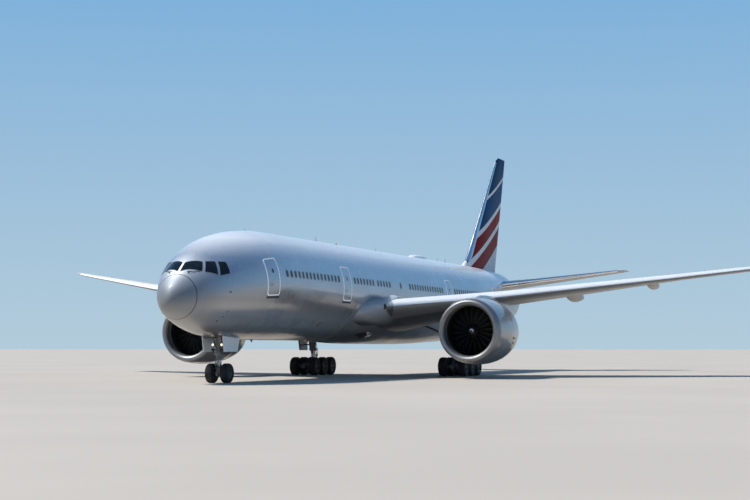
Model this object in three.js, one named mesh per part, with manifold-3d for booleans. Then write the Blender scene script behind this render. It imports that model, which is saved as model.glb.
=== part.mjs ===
// A wide body twin-engine airliner, parked on its landing gear, as a half scale model.
// Every number is in millimetres of the full size aircraft, and the whole group is scaled once at the end.
// X runs to the aircraft's left wing tip, Y aft from the nose, Z up from the ground.
import * as THREE from "three";
import { mergeVertices } from "three/addons/utils/BufferGeometryUtils.js";
import Module from "manifold-3d";

const wasm = await Module();
wasm.setup();

const modelScale = 0.5;
const overallLength = 63730;
const gap = 0.8; // between pieces that are fixed face to face
const clearance = 14; // round pieces that move

const fuselage = { radius: 3100, centre: 5450, facets: 32 };
const engine = { x: 9600, y: 20400, z: 2950, facets: 28, coreFacets: 20 };
const noseGear = { y: 5890, tyreRadius: 535, tyreWidth: 430, track: 910 };
const mainGear = { x: 5485, y: 31780, tyreRadius: 635, tyreWidth: 510, track: 1400, axleStep: 1450 };

const paint = (color, roughness, metalness) =>
  new THREE.MeshStandardMaterial({ color, roughness, metalness });
const finish = {
  silver: paint(0xa9b2bb, 0.35, 0.6),
  grey: paint(0x8d9399, 0.5, 0.3),
  bare: paint(0xdfe2e4, 0.25, 0.9),
  white: paint(0xe6e6e2, 0.5, 0.1),
  glass: paint(0x14181c, 0.15, 0.2),
  dark: paint(0x24262a, 0.5, 0.4),
  rubber: paint(0x1c1c1d, 0.9, 0),
  fin: paint(0x24507f, 0.4, 0.2),
};

const airframe = new THREE.Group();
airframe.position.y = -overallLength / 2;

const vector = (x, y, z) => new THREE.Vector3(x, y, z);
const aft = vector(0, 1, 0);
const lerp = THREE.MathUtils.lerp;

// Solids

// A three.js geometry as a solid, its shared vertices merged before it is moved to its place.
function solidOf(geometry, matrix = new THREE.Matrix4()) {
  const bare = geometry.clone();
  bare.deleteAttribute("normal");
  bare.deleteAttribute("uv");
  const merged = mergeVertices(bare, 0.01).applyMatrix4(matrix);
  const vertProperties = merged.attributes.position.array;
  const triVerts = new Uint32Array(merged.index.array);
  return new wasm.Manifold(new wasm.Mesh({ numProp: 3, vertProperties, triVerts }));
}

function geometryOf(solid) {
  const { vertProperties, triVerts } = solid.getMesh();
  const geometry = new THREE.BufferGeometry();
  geometry.setAttribute("position", new THREE.BufferAttribute(vertProperties, 3));
  return geometry.setIndex(new THREE.BufferAttribute(triVerts, 1));
}

function mirrored(solid) {
  const { vertProperties, triVerts } = solid.getMesh();
  const flipped = vertProperties.map((value, i) => (i % 3 === 0 ? -value : value));
  const partner = (i) => (i % 3 === 0 ? i : 3 * Math.floor(i / 3) + (3 - (i % 3)));
  const turnedRound = triVerts.map((_, i) => triVerts[partner(i)]);
  return new wasm.Manifold(new wasm.Mesh({ numProp: 3, vertProperties: flipped, triVerts: turnedRound }));
}

const join = (...solids) => solids.reduce((all, next) => all.add(next));
const evenly = (solid) => join(solid, mirrored(solid)); // the same on both sides of the middle plane
const cut = (solid, ...tools) => tools.reduce((rest, tool) => rest.subtract(tool), solid);

// The area vector of a closed loop of points, along its right-handed normal.
function loopNormal(loop) {
  const normal = vector(0, 0, 0);
  loop.forEach((point, i) => normal.add(point.clone().cross(loop[(i + 1) % loop.length])));
  return normal.normalize();
}

const middleOf = (loop) => loop.reduce((sum, p) => sum.add(p), vector(0, 0, 0)).divideScalar(loop.length);

// Triangles that close a loop, facing along outward.
function capOf(loop, outward) {
  const normal = loopNormal(loop);
  const across = loop[1].clone().sub(loop[0]).cross(normal).normalize();
  const along = normal.clone().cross(across);
  const flat = loop.map((p) => new THREE.Vector2(p.dot(across), p.dot(along)));
  return THREE.ShapeUtils.triangulateShape(flat, []).map(([a, b, c]) => {
    const face = loop[b].clone().sub(loop[a]).cross(loop[c].clone().sub(loop[a]));
    return face.dot(outward) > 0 ? [a, b, c] : [a, c, b];
  });
}

// A closed solid through rings of points, all with the same number of points. A ring of one point is a tip.
function loft(rings) {
  const starts = rings.map((_, i) => rings.slice(0, i).reduce((sum, ring) => sum + ring.length, 0));
  const along = middleOf(rings.at(-1)).sub(middleOf(rings[0]));
  const widest = rings.find((ring) => ring.length > 1);
  const order = loopNormal(widest).dot(along) > 0 ? [0, 1, 2] : [0, 2, 1];
  const triangles = [];
  for (let i = 1; i < rings.length; i++) {
    const [below, above] = [rings[i - 1], rings[i]];
    const count = Math.max(below.length, above.length);
    for (let j = 0; j < count; j++) {
      const next = (j + 1) % count;
      const [b0, b1] = below.length > 1 ? [j, next] : [0, 0];
      const [a0, a1] = above.length > 1 ? [j, next] : [0, 0];
      const corner = [starts[i - 1] + b0, starts[i - 1] + b1, starts[i] + a1, starts[i] + a0];
      if (b0 !== b1) triangles.push(order.map((k) => [corner[0], corner[1], corner[2]][k]));
      if (a0 !== a1) triangles.push(order.map((k) => [corner[0], corner[2], corner[3]][k]));
    }
  }
  if (rings[0].length > 1) triangles.push(...capOf(rings[0], along.clone().negate()));
  if (rings.at(-1).length > 1)
    triangles.push(...capOf(rings.at(-1), along).map((face) => face.map((k) => k + starts.at(-1))));
  const vertProperties = new Float32Array(rings.flat().flatMap((p) => p.toArray()));
  const triVerts = new Uint32Array(triangles.flat());
  return new wasm.Manifold(new wasm.Mesh({ numProp: 3, vertProperties, triVerts }));
}

// A solid turned from [along, radius] points about an axis through the origin.
function turned(profile, axis, facets) {
  const points = profile.map(([along, radius]) => new THREE.Vector2(radius, along));
  const geometry = new THREE.LatheGeometry([...points, points[0]], facets, Math.PI / facets);
  const turn = new THREE.Matrix4();
  if (axis === "x") turn.makeRotationZ(-Math.PI / 2);
  const solid = solidOf(geometry, turn);
  return solid.volume() < 0 ? solidOf(reversed(geometry), turn) : solid;
}

function reversed(geometry) {
  const copy = geometry.clone();
  const index = copy.index.array;
  for (let i = 0; i < index.length; i += 3) [index[i + 1], index[i + 2]] = [index[i + 2], index[i + 1]];
  return copy;
}

// A box in a frame of three directions at a corner: u, v and w are [lowest, highest] along each.
function boxIn(frame, u, v, w) {
  const size = [u, v, w].map(([low, high]) => high - low);
  const middle = [u, v, w].map(([low, high]) => (low + high) / 2);
  const geometry = new THREE.BoxGeometry(...size).translate(...middle);
  return solidOf(geometry, frame);
}

const boxAt = (x, y, z) => boxIn(new THREE.Matrix4(), x, y, z);

// The frame of a hinge line: u from one end to the other, v aft and square to u, w upwards.
function hingeFrame(start, end, along) {
  const u = end.clone().sub(start).normalize();
  const v = along.clone().addScaledVector(u, -along.dot(u)).normalize();
  const w = u.clone().cross(v);
  return new THREE.Matrix4().makeBasis(u, v, w).setPosition(start);
}

// A rod between two points, its radius changing from one end to the other.
function rod(start, end, radius, endRadius = radius, facets = 10) {
  const length = start.distanceTo(end);
  const geometry = new THREE.CylinderGeometry(endRadius, radius, length, facets);
  const turn = new THREE.Quaternion().setFromUnitVectors(aft, end.clone().sub(start).normalize());
  const middle = start.clone().add(end).divideScalar(2);
  return solidOf(geometry, new THREE.Matrix4().compose(middle, turn, vector(1, 1, 1)));
}

// A flat plate with the outline given as points, and its thickness on one side of it.
function plate(outline, thickness) {
  return loft([outline, outline.map((p) => p.clone().add(thickness))]);
}

function addNode(name, solid, material, place = airframe) {
  const mesh = new THREE.Mesh(geometryOf(solid), material);
  mesh.name = name;
  place.add(mesh);
}

// The same piece on the left and, mirrored, on the right.
const leftSide = new THREE.Group();
const rightSide = new THREE.Group();
rightSide.scale.x = -1;
airframe.add(leftSide, rightSide);

function addPair(name, solid, material, at = vector(0, 0, 0)) {
  for (const [side, word] of [[leftSide, "left"], [rightSide, "right"]]) {
    const place = new THREE.Group();
    place.position.copy(at);
    side.add(place);
    addNode(name.replace("SIDE", word), solid, material, place);
  }
}

// Fuselage

const bodyTable = [
  // station, half width, top, bottom, height of the widest line
  [0, 0, 4400, 4400, 4400],
  [90, 310, 4760, 4080, 4410],
  [400, 740, 5210, 3730, 4450],
  [950, 1160, 5720, 3390, 4550],
  [1750, 1610, 6400, 3110, 4710],
  [2500, 1980, 6880, 2920, 4830],
  [3300, 2290, 7340, 2720, 4950],
  [4300, 2570, 7750, 2550, 5100],
  [5700, 2850, 8120, 2440, 5270],
  [7400, 3025, 8400, 2380, 5390],
  [9800, 3100, 8550, 2350, 5450],
  [20200, 3100, 8550, 2350, 5450],
  [37500, 3100, 8550, 2350, 5450],
  [41200, 3100, 8550, 2350, 5450],
  [44500, 3050, 8550, 2640, 5560],
  [48000, 2860, 8545, 3350, 5860],
  [51000, 2600, 8530, 4120, 6180],
  [54500, 2170, 8480, 5030, 6560],
  [58000, 1570, 8360, 5820, 6900],
  [61000, 880, 8180, 6440, 7200],
  [62940, 170, 7980, 6860, 7400],
];

const [lastStation] = bodyTable.at(-1);
// The rear end of each piece
const bodyJoints = { radome: 950, nose: 8600, forward: 20200, centre: 37500, aft: 51000 };

// One ring of the fuselage's skin, grown outwards by more, its first point straight below.
function bodyRing([station, halfWidth, top, bottom, widest], more = 0) {
  if (halfWidth === 0) return [vector(0, station - more, widest)];
  return Array.from({ length: fuselage.facets }, (_, i) => {
    const turn = (2 * Math.PI * i) / fuselage.facets;
    const reach = Math.cos(turn) > 0 ? widest - bottom + more : top - widest + more;
    return vector((halfWidth + more) * Math.sin(turn), station, widest - reach * Math.cos(turn));
  });
}

function sectionAt(station) {
  const after = Math.max(1, bodyTable.findIndex((row) => row[0] >= station));
  const [low, high] = [bodyTable[after - 1], bodyTable[after]];
  return low.map((value, i) => lerp(value, high[i], (station - low[0]) / (high[0] - low[0])));
}

function bodyBetween(start, end, more = 0) {
  const inner = bodyTable.filter(([station]) => station > start && station < end);
  const rows = start === 0 ? [bodyTable[0], ...inner] : [sectionAt(start), ...inner];
  return loft([...rows, sectionAt(end)].map((row) => bodyRing(row, more)));
}

const wholeBody = evenly(bodyBetween(0, lastStation, gap * 2));

// Flight deck windows: the corners of the left side's panes, as x, station and height, close to the skin

const panes = [
  [[70, 1120, 5865], [1080, 1640, 5850], [860, 2110, 6400], [70, 1700, 6380]],
  [[1190, 1750, 5845], [1665, 2310, 5710], [1340, 2620, 6430], [960, 2210, 6410]],
  [[1760, 2420, 5690], [2010, 3040, 5800], [1700, 3130, 6425], [1435, 2740, 6430]],
];
const paneDepth = 130;
const paneReach = 500;
const paneGap = 5;
const paneSpread = 1.5;
const postInset = 70;
const postRadius = 45;

function paneSolid(corners, more) {
  const points = corners.map((corner) => vector(...corner));
  const middle = middleOf(points);
  const out = loopNormal(points);
  if (out.y > 0) out.negate();
  const away = (p) => p.clone().sub(middle).normalize();
  const spread = points.map((p) => p.clone().addScaledVector(away(p), more * paneSpread));
  const deep = spread.map((p) => p.clone().addScaledVector(out, -paneDepth - more));
  const proud = spread.map((p) => p.clone().addScaledVector(out, paneReach));
  return loft([deep, proud]);
}

// The panes, with rods behind their posts that join them.
function glazing(more) {
  const left = panes.map((corners) => paneSolid(corners, more));
  const right = panes.map((corners) => paneSolid(corners.map(([x, y, z]) => [-x, y, z]), more));
  const inside = panes.map((corners) => {
    const points = corners.map((corner) => vector(...corner));
    const out = loopNormal(points);
    return middleOf(points).addScaledVector(out.y > 0 ? out.negate() : out, postInset - paneDepth);
  });
  const route = [...inside.toReversed(), ...inside.map((p) => vector(-p.x, p.y, p.z))];
  const rods = route.slice(1).map((p, i) => rod(route[i], p, postRadius + more, postRadius + more, 4));
  return join(...left, ...right, ...rods);
}

const noseBay = { x: [-560, 560], y: [4900, 7250], z: [2000, 3300] };
const noseJack = { y: 8150, radius: 110, low: 2325 };
const noseJackPad = rod(vector(0, noseJack.y, noseJack.low), vector(0, noseJack.y, 2600), noseJack.radius);

const noseSkin = bodyBetween(bodyJoints.radome + gap, bodyJoints.nose);
const noseOpened = cut(noseSkin, glazing(paneGap), boxAt(noseBay.x, noseBay.y, noseBay.z));
const bodyCuts = [
  ["radome", bodyBetween(0, bodyJoints.radome), finish.silver],
  ["nose_section", join(noseOpened, noseJackPad), finish.silver],
  ["flight_deck_glazing", noseSkin.intersect(glazing(0)), finish.glass],
  ["centre_fuselage", bodyBetween(bodyJoints.forward + gap, bodyJoints.centre), finish.silver],
  ["tail_cone", bodyBetween(bodyJoints.aft + gap, lastStation), finish.silver],
];
for (const [name, solid, material] of bodyCuts) addNode(name, solid, material);

// Cargo doors in the right side, hinged along their upper edge

const { nose, forward, centre, aft: rear } = bodyJoints;
const cargoDoors = [
  // name, first and last station, the fuselage piece that it is cut from, between its two joints
  { name: "forward_cargo_door", from: 10900, to: 13590, host: "forward_fuselage", joints: [nose, forward] },
  { name: "aft_cargo_door", from: 42300, to: 44990, host: "aft_fuselage", joints: [centre, rear] },
];
const doorHeights = [2900, 4600];
const doorThickness = 150;

function doorSolid({ from, to }, more) {
  const band = boxAt([-4000, 0], [from - more, to + more], [doorHeights[0] - more, doorHeights[1] + more]);
  const inner = bodyBetween(from - 500, to + 500, -doorThickness - more);
  return cut(band.intersect(bodyBetween(from - 400, to + 400, more)), inner);
}

for (const door of cargoDoors) {
  const [start, end] = door.joints;
  const host = bodyBetween(start + gap, end);
  addNode(door.host, cut(host, doorSolid(door, clearance)), finish.silver);
  addNode(door.name, doorSolid(door, 0), finish.silver);
}

// Wing to body fairing: a blister round the lower half, from one wing root to the other

const fairingTable = [
  // station, how far it stands out from the skin below, and at its upper edges
  [18600, 25, 25],
  [19600, 70, 50],
  [21200, 130, 100],
  [24000, 170, 140],
  [32500, 180, 140],
  [35500, 140, 110],
  [37800, 80, 60],
  [39600, 25, 25],
];
const fairingSteps = 7; // facets of the skin to each side of the keel
const fairingCore = 500;

function fairingRing([station, keel, edge], inset) {
  const arc = (stand) =>
    Array.from({ length: 2 * fairingSteps + 1 }, (_, i) => {
      const step = i - fairingSteps;
      const turn = (2 * Math.PI * step) / fuselage.facets;
      const proud = stand ? lerp(keel, edge, Math.abs(step) / fairingSteps) + inset : gap;
      const radius = fuselage.radius + proud;
      return vector(radius * Math.sin(turn), station, fuselage.centre - radius * Math.cos(turn));
    });
  return [...arc(true), ...arc(false).reverse()];
}

const fairing = loft(fairingTable.map((row) => fairingRing(row, 0)));
const fairingGrown = evenly(
  loft(
    fairingTable.map((row) => {
      const ring = fairingRing(row, gap).slice(0, 2 * fairingSteps + 1);
      const inside = [fairingCore, -fairingCore].map((x) => vector(x, row[0], fuselage.centre));
      return [...ring, ...inside];
    }),
  ),
);
addNode("belly_fairing", fairing, finish.grey);

// Lifting surfaces

const chordSteps = [0, 0.012, 0.05, 0.13, 0.28, 0.45, 0.6, 0.7, 0.8, 1];
const bluntEdge = 0.0022;

// Half the thickness of the section, as a share of the chord.
function halfThickness(share, ratio) {
  const curve = [0.2969 * Math.sqrt(share), -0.126 * share, -0.3516 * share ** 2, 0.2843 * share ** 3];
  return 5 * ratio * (curve.reduce((sum, term) => sum + term) - 0.1036 * share ** 4) + bluntEdge * share;
}

// How far the middle line of the section rises, as a share of the chord: the bow is its arch, up or down.
const rearLoading = 0.006;
function camberAt(share, bow) {
  return bow * Math.sin(Math.PI * share) + rearLoading * Math.sin(2 * Math.PI * share);
}

// The steps of a rising list on either side of a value, and how far it is between them.
function around(steps, value, stepOf = (step) => step) {
  const found = steps.findIndex((step) => stepOf(step) >= value);
  const after = THREE.MathUtils.clamp(found, 1, steps.length - 1);
  const [low, high] = [steps[after - 1], steps[after]];
  return { low, high, between: (value - stepOf(low)) / (stepOf(high) - stepOf(low)) };
}

const rowsAround = (table, span) => around(table, span, (row) => row.span);

function rowAt(table, span) {
  const { low, high, between } = rowsAround(table, span);
  return Object.fromEntries(Object.keys(low).map((key) => [key, lerp(low[key], high[key], between)]));
}

// A point of one row of a surface: side is 1 on the upper skin, -1 on the lower and 0 in between.
function rowPoint(surface, row, share, side, more) {
  const chord = row.chord + 2 * more;
  const half = halfThickness(share, row.ratio) * row.chord + more;
  const up = (surface.camber ? camberAt(share, row.bow) * row.chord : 0) + side * half;
  const aft = share * chord - more;
  const twist = THREE.MathUtils.degToRad(row.twist);
  return surface.place(
    row.span,
    row.lead + aft * Math.cos(twist) + up * Math.sin(twist),
    row.height - aft * Math.sin(twist) + up * Math.cos(twist),
  );
}

// A point of a surface: it is straight from one row to the next, and from one chord step to the next.
function surfacePoint(surface, span, share, side, more = 0) {
  const rows = rowsAround(surface.table, span);
  const steps = around(chordSteps, share);
  const pointAt = (row) => {
    const [front, rear] = [steps.low, steps.high].map((step) => rowPoint(surface, row, step, side, more));
    return front.lerp(rear, steps.between);
  };
  return pointAt(rows.low).lerp(pointAt(rows.high), rows.between);
}

function surfaceSolid(surface, more = 0) {
  const ends = (i, last) => (i === 0 ? -more : i === last ? more : 0);
  return loft(
    surface.table.map(({ span }, i) => {
      const upper = chordSteps.toReversed().map((share) => surfacePoint(surface, span, share, 1, more));
      const lower = chordSteps.slice(1).map((share) => surfacePoint(surface, span, share, -1, more));
      const shift = surface.place(ends(i, surface.table.length - 1), 0, 0).sub(surface.place(0, 0, 0));
      return [...upper, ...lower].map((p) => p.add(shift));
    }),
  );
}

const noseFacets = 12;

// A control surface with a round nose that turns about its middle: the hinge is where the nose is centred.
// Its ends are square to the hinge.
function controlTools(surface, { from, to, share }) {
  const start = surfacePoint(surface, from, share, 0);
  const end = surfacePoint(surface, to, share, 0);
  const radii = [from, to].map((span) => {
    const row = rowAt(surface.table, span);
    return halfThickness(share, row.ratio) * row.chord;
  });
  const frame = hingeFrame(start, end, aft);
  const length = start.distanceTo(end);
  const reach = 5000;
  const axis = end.clone().sub(start).normalize();
  const nose = (more) =>
    rod(
      start.clone().addScaledVector(axis, -more),
      end.clone().addScaledVector(axis, more),
      radii[0] * (more ? 1.05 : 1) + more,
      radii[1] * (more ? 1.05 : 1) + more,
      noseFacets,
    );
  const lip = 0.36 * Math.max(...radii);
  return {
    moving: join(boxIn(frame, [0, length], [0, reach], [-reach, reach]), nose(0)),
    opening: join(
      boxIn(frame, [-clearance, length + clearance], [-lip, reach], [-reach, reach]),
      nose(clearance),
    ),
    start,
    end,
  };
}

// A flap that swings about a hinge below it, so that its nose moves aft as it goes down.
function flapTools(surface, { from, to, shareFrom, shareTo, drop }) {
  const start = surfacePoint(surface, from, shareFrom, 0);
  const end = surfacePoint(surface, to, shareTo, 0);
  const frame = hingeFrame(start, end, aft);
  const length = start.distanceTo(end);
  const down = vector(0, 0, -drop).transformDirection(frame).multiplyScalar(drop);
  return {
    moving: boxIn(frame, [0, length], [0, 6000], [-3000, 3000]),
    opening: boxIn(frame, [-clearance, length + clearance], [-clearance, 6000], [-3000, 3000]),
    start: start.clone().add(down),
    end: end.clone().add(down),
  };
}

// A spoiler panel in the upper skin, hinged along its front edge.
function spoilerTools(surface, { from, to, shareFrom, shareTo, thickness }) {
  const start = surfacePoint(surface, from, shareFrom, 1);
  const end = surfacePoint(surface, to, shareTo, 1);
  const middle = (from + to) / 2;
  const share = (shareFrom + shareTo) / 2;
  const slope = surfacePoint(surface, middle, share + 0.1, 1).sub(surfacePoint(surface, middle, share, 1));
  const frame = hingeFrame(start, end, slope);
  const length = start.distanceTo(end);
  const wide = [-clearance, length + clearance];
  return {
    moving: boxIn(frame, [0, length], [0, 2500], [-thickness, 200]),
    opening: boxIn(frame, wide, [-clearance, 2500], [-thickness - clearance, 400]),
    start,
    end,
  };
}

// Wing

const wing = {
  camber: true,
  place: (span, along, up) => vector(span, along, up),
  table: [
    { span: 2500, lead: 20480, chord: 14200, height: 4380, ratio: 0.118, twist: 0.6, bow: -0.037 },
    { span: 3100, lead: 20900, chord: 13700, height: 4440, ratio: 0.116, twist: 0.5, bow: -0.037 },
    { span: 9000, lead: 24995, chord: 9952, height: 5056, ratio: 0.095, twist: -1.23, bow: -0.009 },
    { span: 9900, lead: 25620, chord: 9380, height: 5150, ratio: 0.092, twist: -1.4, bow: -0.006 },
    { span: 20000, lead: 32630, chord: 5560, height: 6520, ratio: 0.08, twist: -2.4, bow: 0.01 },
    { span: 28400, lead: 38470, chord: 2680, height: 7730, ratio: 0.085, twist: -1.5, bow: 0.01 },
    { span: 30050, lead: 39900, chord: 1950, height: 8000, ratio: 0.08, twist: -1.5, bow: 0.01 },
    { span: 30465, lead: 40700, chord: 1230, height: 8070, ratio: 0.05, twist: -1.5, bow: 0.01 },
  ],
};

const flaps = [
  { name: "inboard_flap", from: 3700, to: 8600, shareFrom: 0.83, shareTo: 0.765, drop: 950 },
  { name: "outboard_flap", from: 11000, to: 21900, shareFrom: 0.745, shareTo: 0.735, drop: 700 },
];
const controls = [
  { name: "flaperon", from: 9250, to: 10750, share: 0.77 },
  { name: "aileron", from: 22500, to: 28200, share: 0.75 },
];
const spoilers = [
  { name: "inboard_spoiler", from: 4100, to: 8300, shareFrom: 0.74, shareTo: 0.66, thickness: 80 },
  { name: "outboard_spoiler", from: 11700, to: 19800, shareFrom: 0.6, shareTo: 0.6, thickness: 60 },
];
const slat = { from: 3600, to: 29300, share: 0.12 };

// Flap track fairings: [span, radius], each a slim pod under the rear of the wing.
const pods = [
  [7300, 320],
  [13000, 330],
  [18000, 280],
];

const podFacets = 8;

function podSolid([span, radius]) {
  const row = rowAt(wing.table, span);
  const under = surfacePoint(wing, span, 0.72, -1).z;
  const [first, last] = [row.lead + 0.5 * row.chord, row.lead + row.chord + 900];
  const shape = [[0, 0], [0.07, 0.5], [0.25, 0.92], [0.5, 1], [0.8, 0.62], [1, 0]];
  return loft(
    shape.map(([share, size]) => {
      const middle = vector(span, lerp(first, last, share), under + 40 - 60 * share);
      if (size === 0) return [middle];
      return Array.from({ length: podFacets }, (_, i) => {
        const turn = (2 * Math.PI * i) / podFacets;
        return vector(radius * size * Math.cos(turn), 0, 1.25 * radius * size * Math.sin(turn)).add(middle);
      });
    }),
  );
}

const wingJack = { span: 8300, share: 0.5, radius: 110, drop: 60 };
const wingUnder = surfacePoint(wing, wingJack.span, wingJack.share, -1);
const wingJackPad = rod(
  wingUnder.clone().add(vector(0, 0, -wingJack.drop)),
  wingUnder.clone().add(vector(0, 0, 400)),
  wingJack.radius,
);

// The fillet that carries the leading edge forward and down into the fuselage
const rootFillet = {
  camber: false,
  place: wing.place,
  table: [
    { span: 2500, lead: 18700, chord: 8200, height: 4130, ratio: 0.2, twist: 0 },
    { span: 3150, lead: 19700, chord: 7600, height: 4190, ratio: 0.22, twist: 0 },
    { span: 3500, lead: 20600, chord: 6800, height: 4330, ratio: 0.24, twist: 0 },
    { span: 3850, lead: 21440, chord: 6000, height: 4530, ratio: 0.25, twist: 0 },
    { span: 4050, lead: 21900, chord: 5400, height: 4560, ratio: 0.22, twist: 0 },
  ],
};

const bareWing = join(surfaceSolid(wing), surfaceSolid(rootFillet));
const wingRootTools = [wholeBody, fairingGrown];
let fixedWing = cut(join(bareWing, ...pods.map(podSolid)), ...wingRootTools);

const wingDevices = [[flaps, flapTools], [controls, controlTools], [spoilers, spoilerTools]];
for (const [devices, toolsFor] of wingDevices) {
  for (const device of devices) {
    const { moving, opening } = toolsFor(wing, device);
    addPair(`${device.name}_SIDE`, fixedWing.intersect(moving), finish.grey);
    fixedWing = cut(fixedWing, opening);
  }
}

const slatStart = surfacePoint(wing, slat.from, slat.share, 0);
const slatEnd = surfacePoint(wing, slat.to, slat.share, 0);
const slatFrame = hingeFrame(slatStart, slatEnd, aft);
const slatLength = slatStart.distanceTo(slatEnd);
const slatTool = boxIn(slatFrame, [0, slatLength], [-3000, 0], [-2500, 2500]);
const slatOpening = boxIn(slatFrame, [-gap, slatLength + gap], [-3000, gap], [-2500, 2500]);
addPair("slats_SIDE", fixedWing.intersect(slatTool), finish.bare);
fixedWing = join(cut(fixedWing, slatOpening), wingJackPad);
addPair("wing_SIDE", fixedWing, finish.grey);

// Engine nacelles, each round an axis along Y with the lip at its front, in the engine's own place

const lipProfile = [[450, 1530], [200, 1560], [60, 1630], [0, 1760], [60, 1860], [200, 1930], [450, 1985]];
const cowlOuter = [[450, 1985], [1200, 2050], [2100, 2080], [3000, 2060]];
const cowlInner = [[3000, 1640], [1900, 1585], [1000, 1585], [450, 1530]];
const fanCowlProfile = [...cowlOuter, ...cowlInner];
const reverserOuter = [[3000, 2060], [4200, 1960], [5400, 1730]];
const reverserInner = [[5400, 1695], [4200, 1740], [3000, 1640]];
const coreProfile = [
  [1764, 0],
  [1764, 500],
  [2500, 860],
  [3600, 1180],
  [4600, 1240],
  [5500, 1120],
  [6700, 760],
  [6690, 700],
  [6350, 660],
  [6350, 480],
  [6900, 400],
  [7700, 0],
];
const nacelleOutline = [
  [0, 0],
  ...lipProfile.slice(3),
  ...cowlOuter.slice(1),
  ...reverserOuter.slice(1),
];
const shift = (profile, more) => profile.map(([along, radius]) => [along + more, radius]);

const engineAt = vector(engine.x, engine.y, engine.z);
addPair("inlet_lip_SIDE", turned(lipProfile, "y", engine.facets), finish.bare, engineAt);
addPair("fan_cowl_SIDE", turned(shift(fanCowlProfile, gap), "y", engine.facets), finish.silver, engineAt);
const reverserCowl = turned(shift([...reverserOuter, ...reverserInner], 2 * gap), "y", engine.facets);
addPair("reverser_cowl_SIDE", reverserCowl, finish.silver, engineAt);

// Eight guide vanes carry the core inside the fan cowl.
const vaneCount = 8;
const vane = { from: 2100, to: 2450, inner: 600, half: 25 };

// The radius of the cowl's inner wall at a place along it, at the middle of a facet
function cowlInside(place) {
  const [[last, lastRadius], [first, firstRadius]] = cowlInner;
  const radius = lerp(firstRadius, lastRadius, (place - first) / (last - first));
  return radius * Math.cos(Math.PI / engine.facets) - gap * 2;
}

function vaneSolid(i) {
  const front = [vane.inner, cowlInside(vane.from)].map((r) => vector(r, vane.from, -vane.half));
  const rear = [cowlInside(vane.to), vane.inner].map((r) => vector(r, vane.to, -vane.half));
  const outline = [...front, ...rear];
  const turn = (2 * Math.PI * i) / vaneCount;
  const spin = (p) => p.clone().applyAxisAngle(aft, turn);
  return loft([outline.map(spin), outline.map((p) => spin(p.clone().setZ(vane.half)))]);
}

const core = turned(coreProfile, "y", engine.coreFacets);
const vanes = Array.from({ length: vaneCount }, (_, i) => vaneSolid(i));
addPair("engine_core_SIDE", join(core, ...vanes), finish.dark, engineAt);

// The fan: a pointed spinner and its blades.
// A blade has three sections, each [radius, pitch, half its chord].
const fan = { blades: 20, middle: 1375, thickness: 40 };
const bladeSections = [[410, 0.62, 200], [950, 0.8, 225], [1545, 0.98, 235]];

function bladeSolid(i) {
  const turn = (2 * Math.PI * i) / fan.blades;
  const thin = fan.thickness / 2;
  const corner = (radius, pitch, chord, side) => {
    const along = chord * Math.cos(pitch) - side * Math.sin(pitch);
    const across = chord * Math.sin(pitch) + side * Math.cos(pitch);
    return vector(across, fan.middle + along, radius).applyAxisAngle(aft, turn);
  };
  return loft(
    bladeSections.map(([radius, pitch, half]) => {
      const corners = [[-half, -thin], [half, -thin], [half, thin], [-half, thin]];
      return corners.map(([chord, side]) => corner(radius, pitch, chord, side));
    }),
  );
}

const spinnerProfile = [[620, 0], [700, 110], [1100, 400], [1250, 465], [1750, 470], [1750, 0]];
const fanSolid = join(
  turned(spinnerProfile, "y", fan.blades),
  ...Array.from({ length: fan.blades }, (_, i) => bladeSolid(i)),
);
addPair("fan_SIDE", fanSolid, finish.dark, engineAt);

// Pylons

const pylonTable = [
  // distance aft of the lip, half width, top and bottom above the ground
  [1900, 90, 5090, 4400],
  [3200, 210, 5230, 4180],
  [4900, 270, 5200, 3850],
  [6700, 280, 5050, 3500],
  [9000, 250, 4950, 3750],
  [10900, 150, 4980, 4350],
  [11600, 60, 5000, 4750],
];
const pylonSolid = loft(
  pylonTable.map(([along, half, top, bottom]) => {
    const y = engine.y + along;
    const bevel = Math.min(half * 0.5, (top - bottom) / 3);
    return [
      [half, bottom + bevel], [half, top - bevel], [half - bevel, top], [-half + bevel, top],
      [-half, top - bevel], [-half, bottom + bevel], [-half + bevel, bottom], [half - bevel, bottom],
    ].map(([x, z]) => vector(engine.x + x, y, z));
  }),
);
const grown = (outline) => outline.map(([y, radius]) => [y + 4 * gap, radius && radius + 3 * gap]);
const [lastCowl] = reverserOuter.at(-1);
const coreRear = [[3000, 0], [3000, 1240], ...coreProfile.slice(4, 7), [coreProfile[6][0], 0]];
const roomForEngine = join(
  turned(grown([...nacelleOutline, [lastCowl, 0]]), "y", engine.facets),
  turned(grown(coreRear), "y", engine.coreFacets),
).translate([engine.x, engine.y, engine.z]);
const wingGrown = surfaceSolid(wing, 3 * gap);
addPair("pylon_SIDE", cut(pylonSolid, roomForEngine, wingGrown), finish.silver);

// Tail

const fin = {
  camber: false,
  place: (span, along, up) => vector(up, along, span),
  table: [
    { span: 7700, lead: 48700, chord: 10300, height: 0, ratio: 0.09, twist: 0 },
    { span: 8560, lead: 49850, chord: 9100, height: 0, ratio: 0.1, twist: 0 },
    { span: 9400, lead: 51100, chord: 8110, height: 0, ratio: 0.105, twist: 0 },
    { span: 18050, lead: 59200, chord: 2830, height: 0, ratio: 0.1, twist: 0 },
    { span: 18500, lead: 59900, chord: 2250, height: 0, ratio: 0.04, twist: 0 },
  ],
};
const rudder = { from: 9750, to: 17800, share: 0.68 };
const tailBody = evenly(bodyBetween(44500, lastStation, 2 * gap));
const wholeFin = cut(surfaceSolid(fin), tailBody);
const rudderTools = controlTools(fin, rudder);
addNode("rudder", wholeFin.intersect(rudderTools.moving), finish.fin);
addNode("fin", cut(wholeFin, rudderTools.opening), finish.fin);

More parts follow.
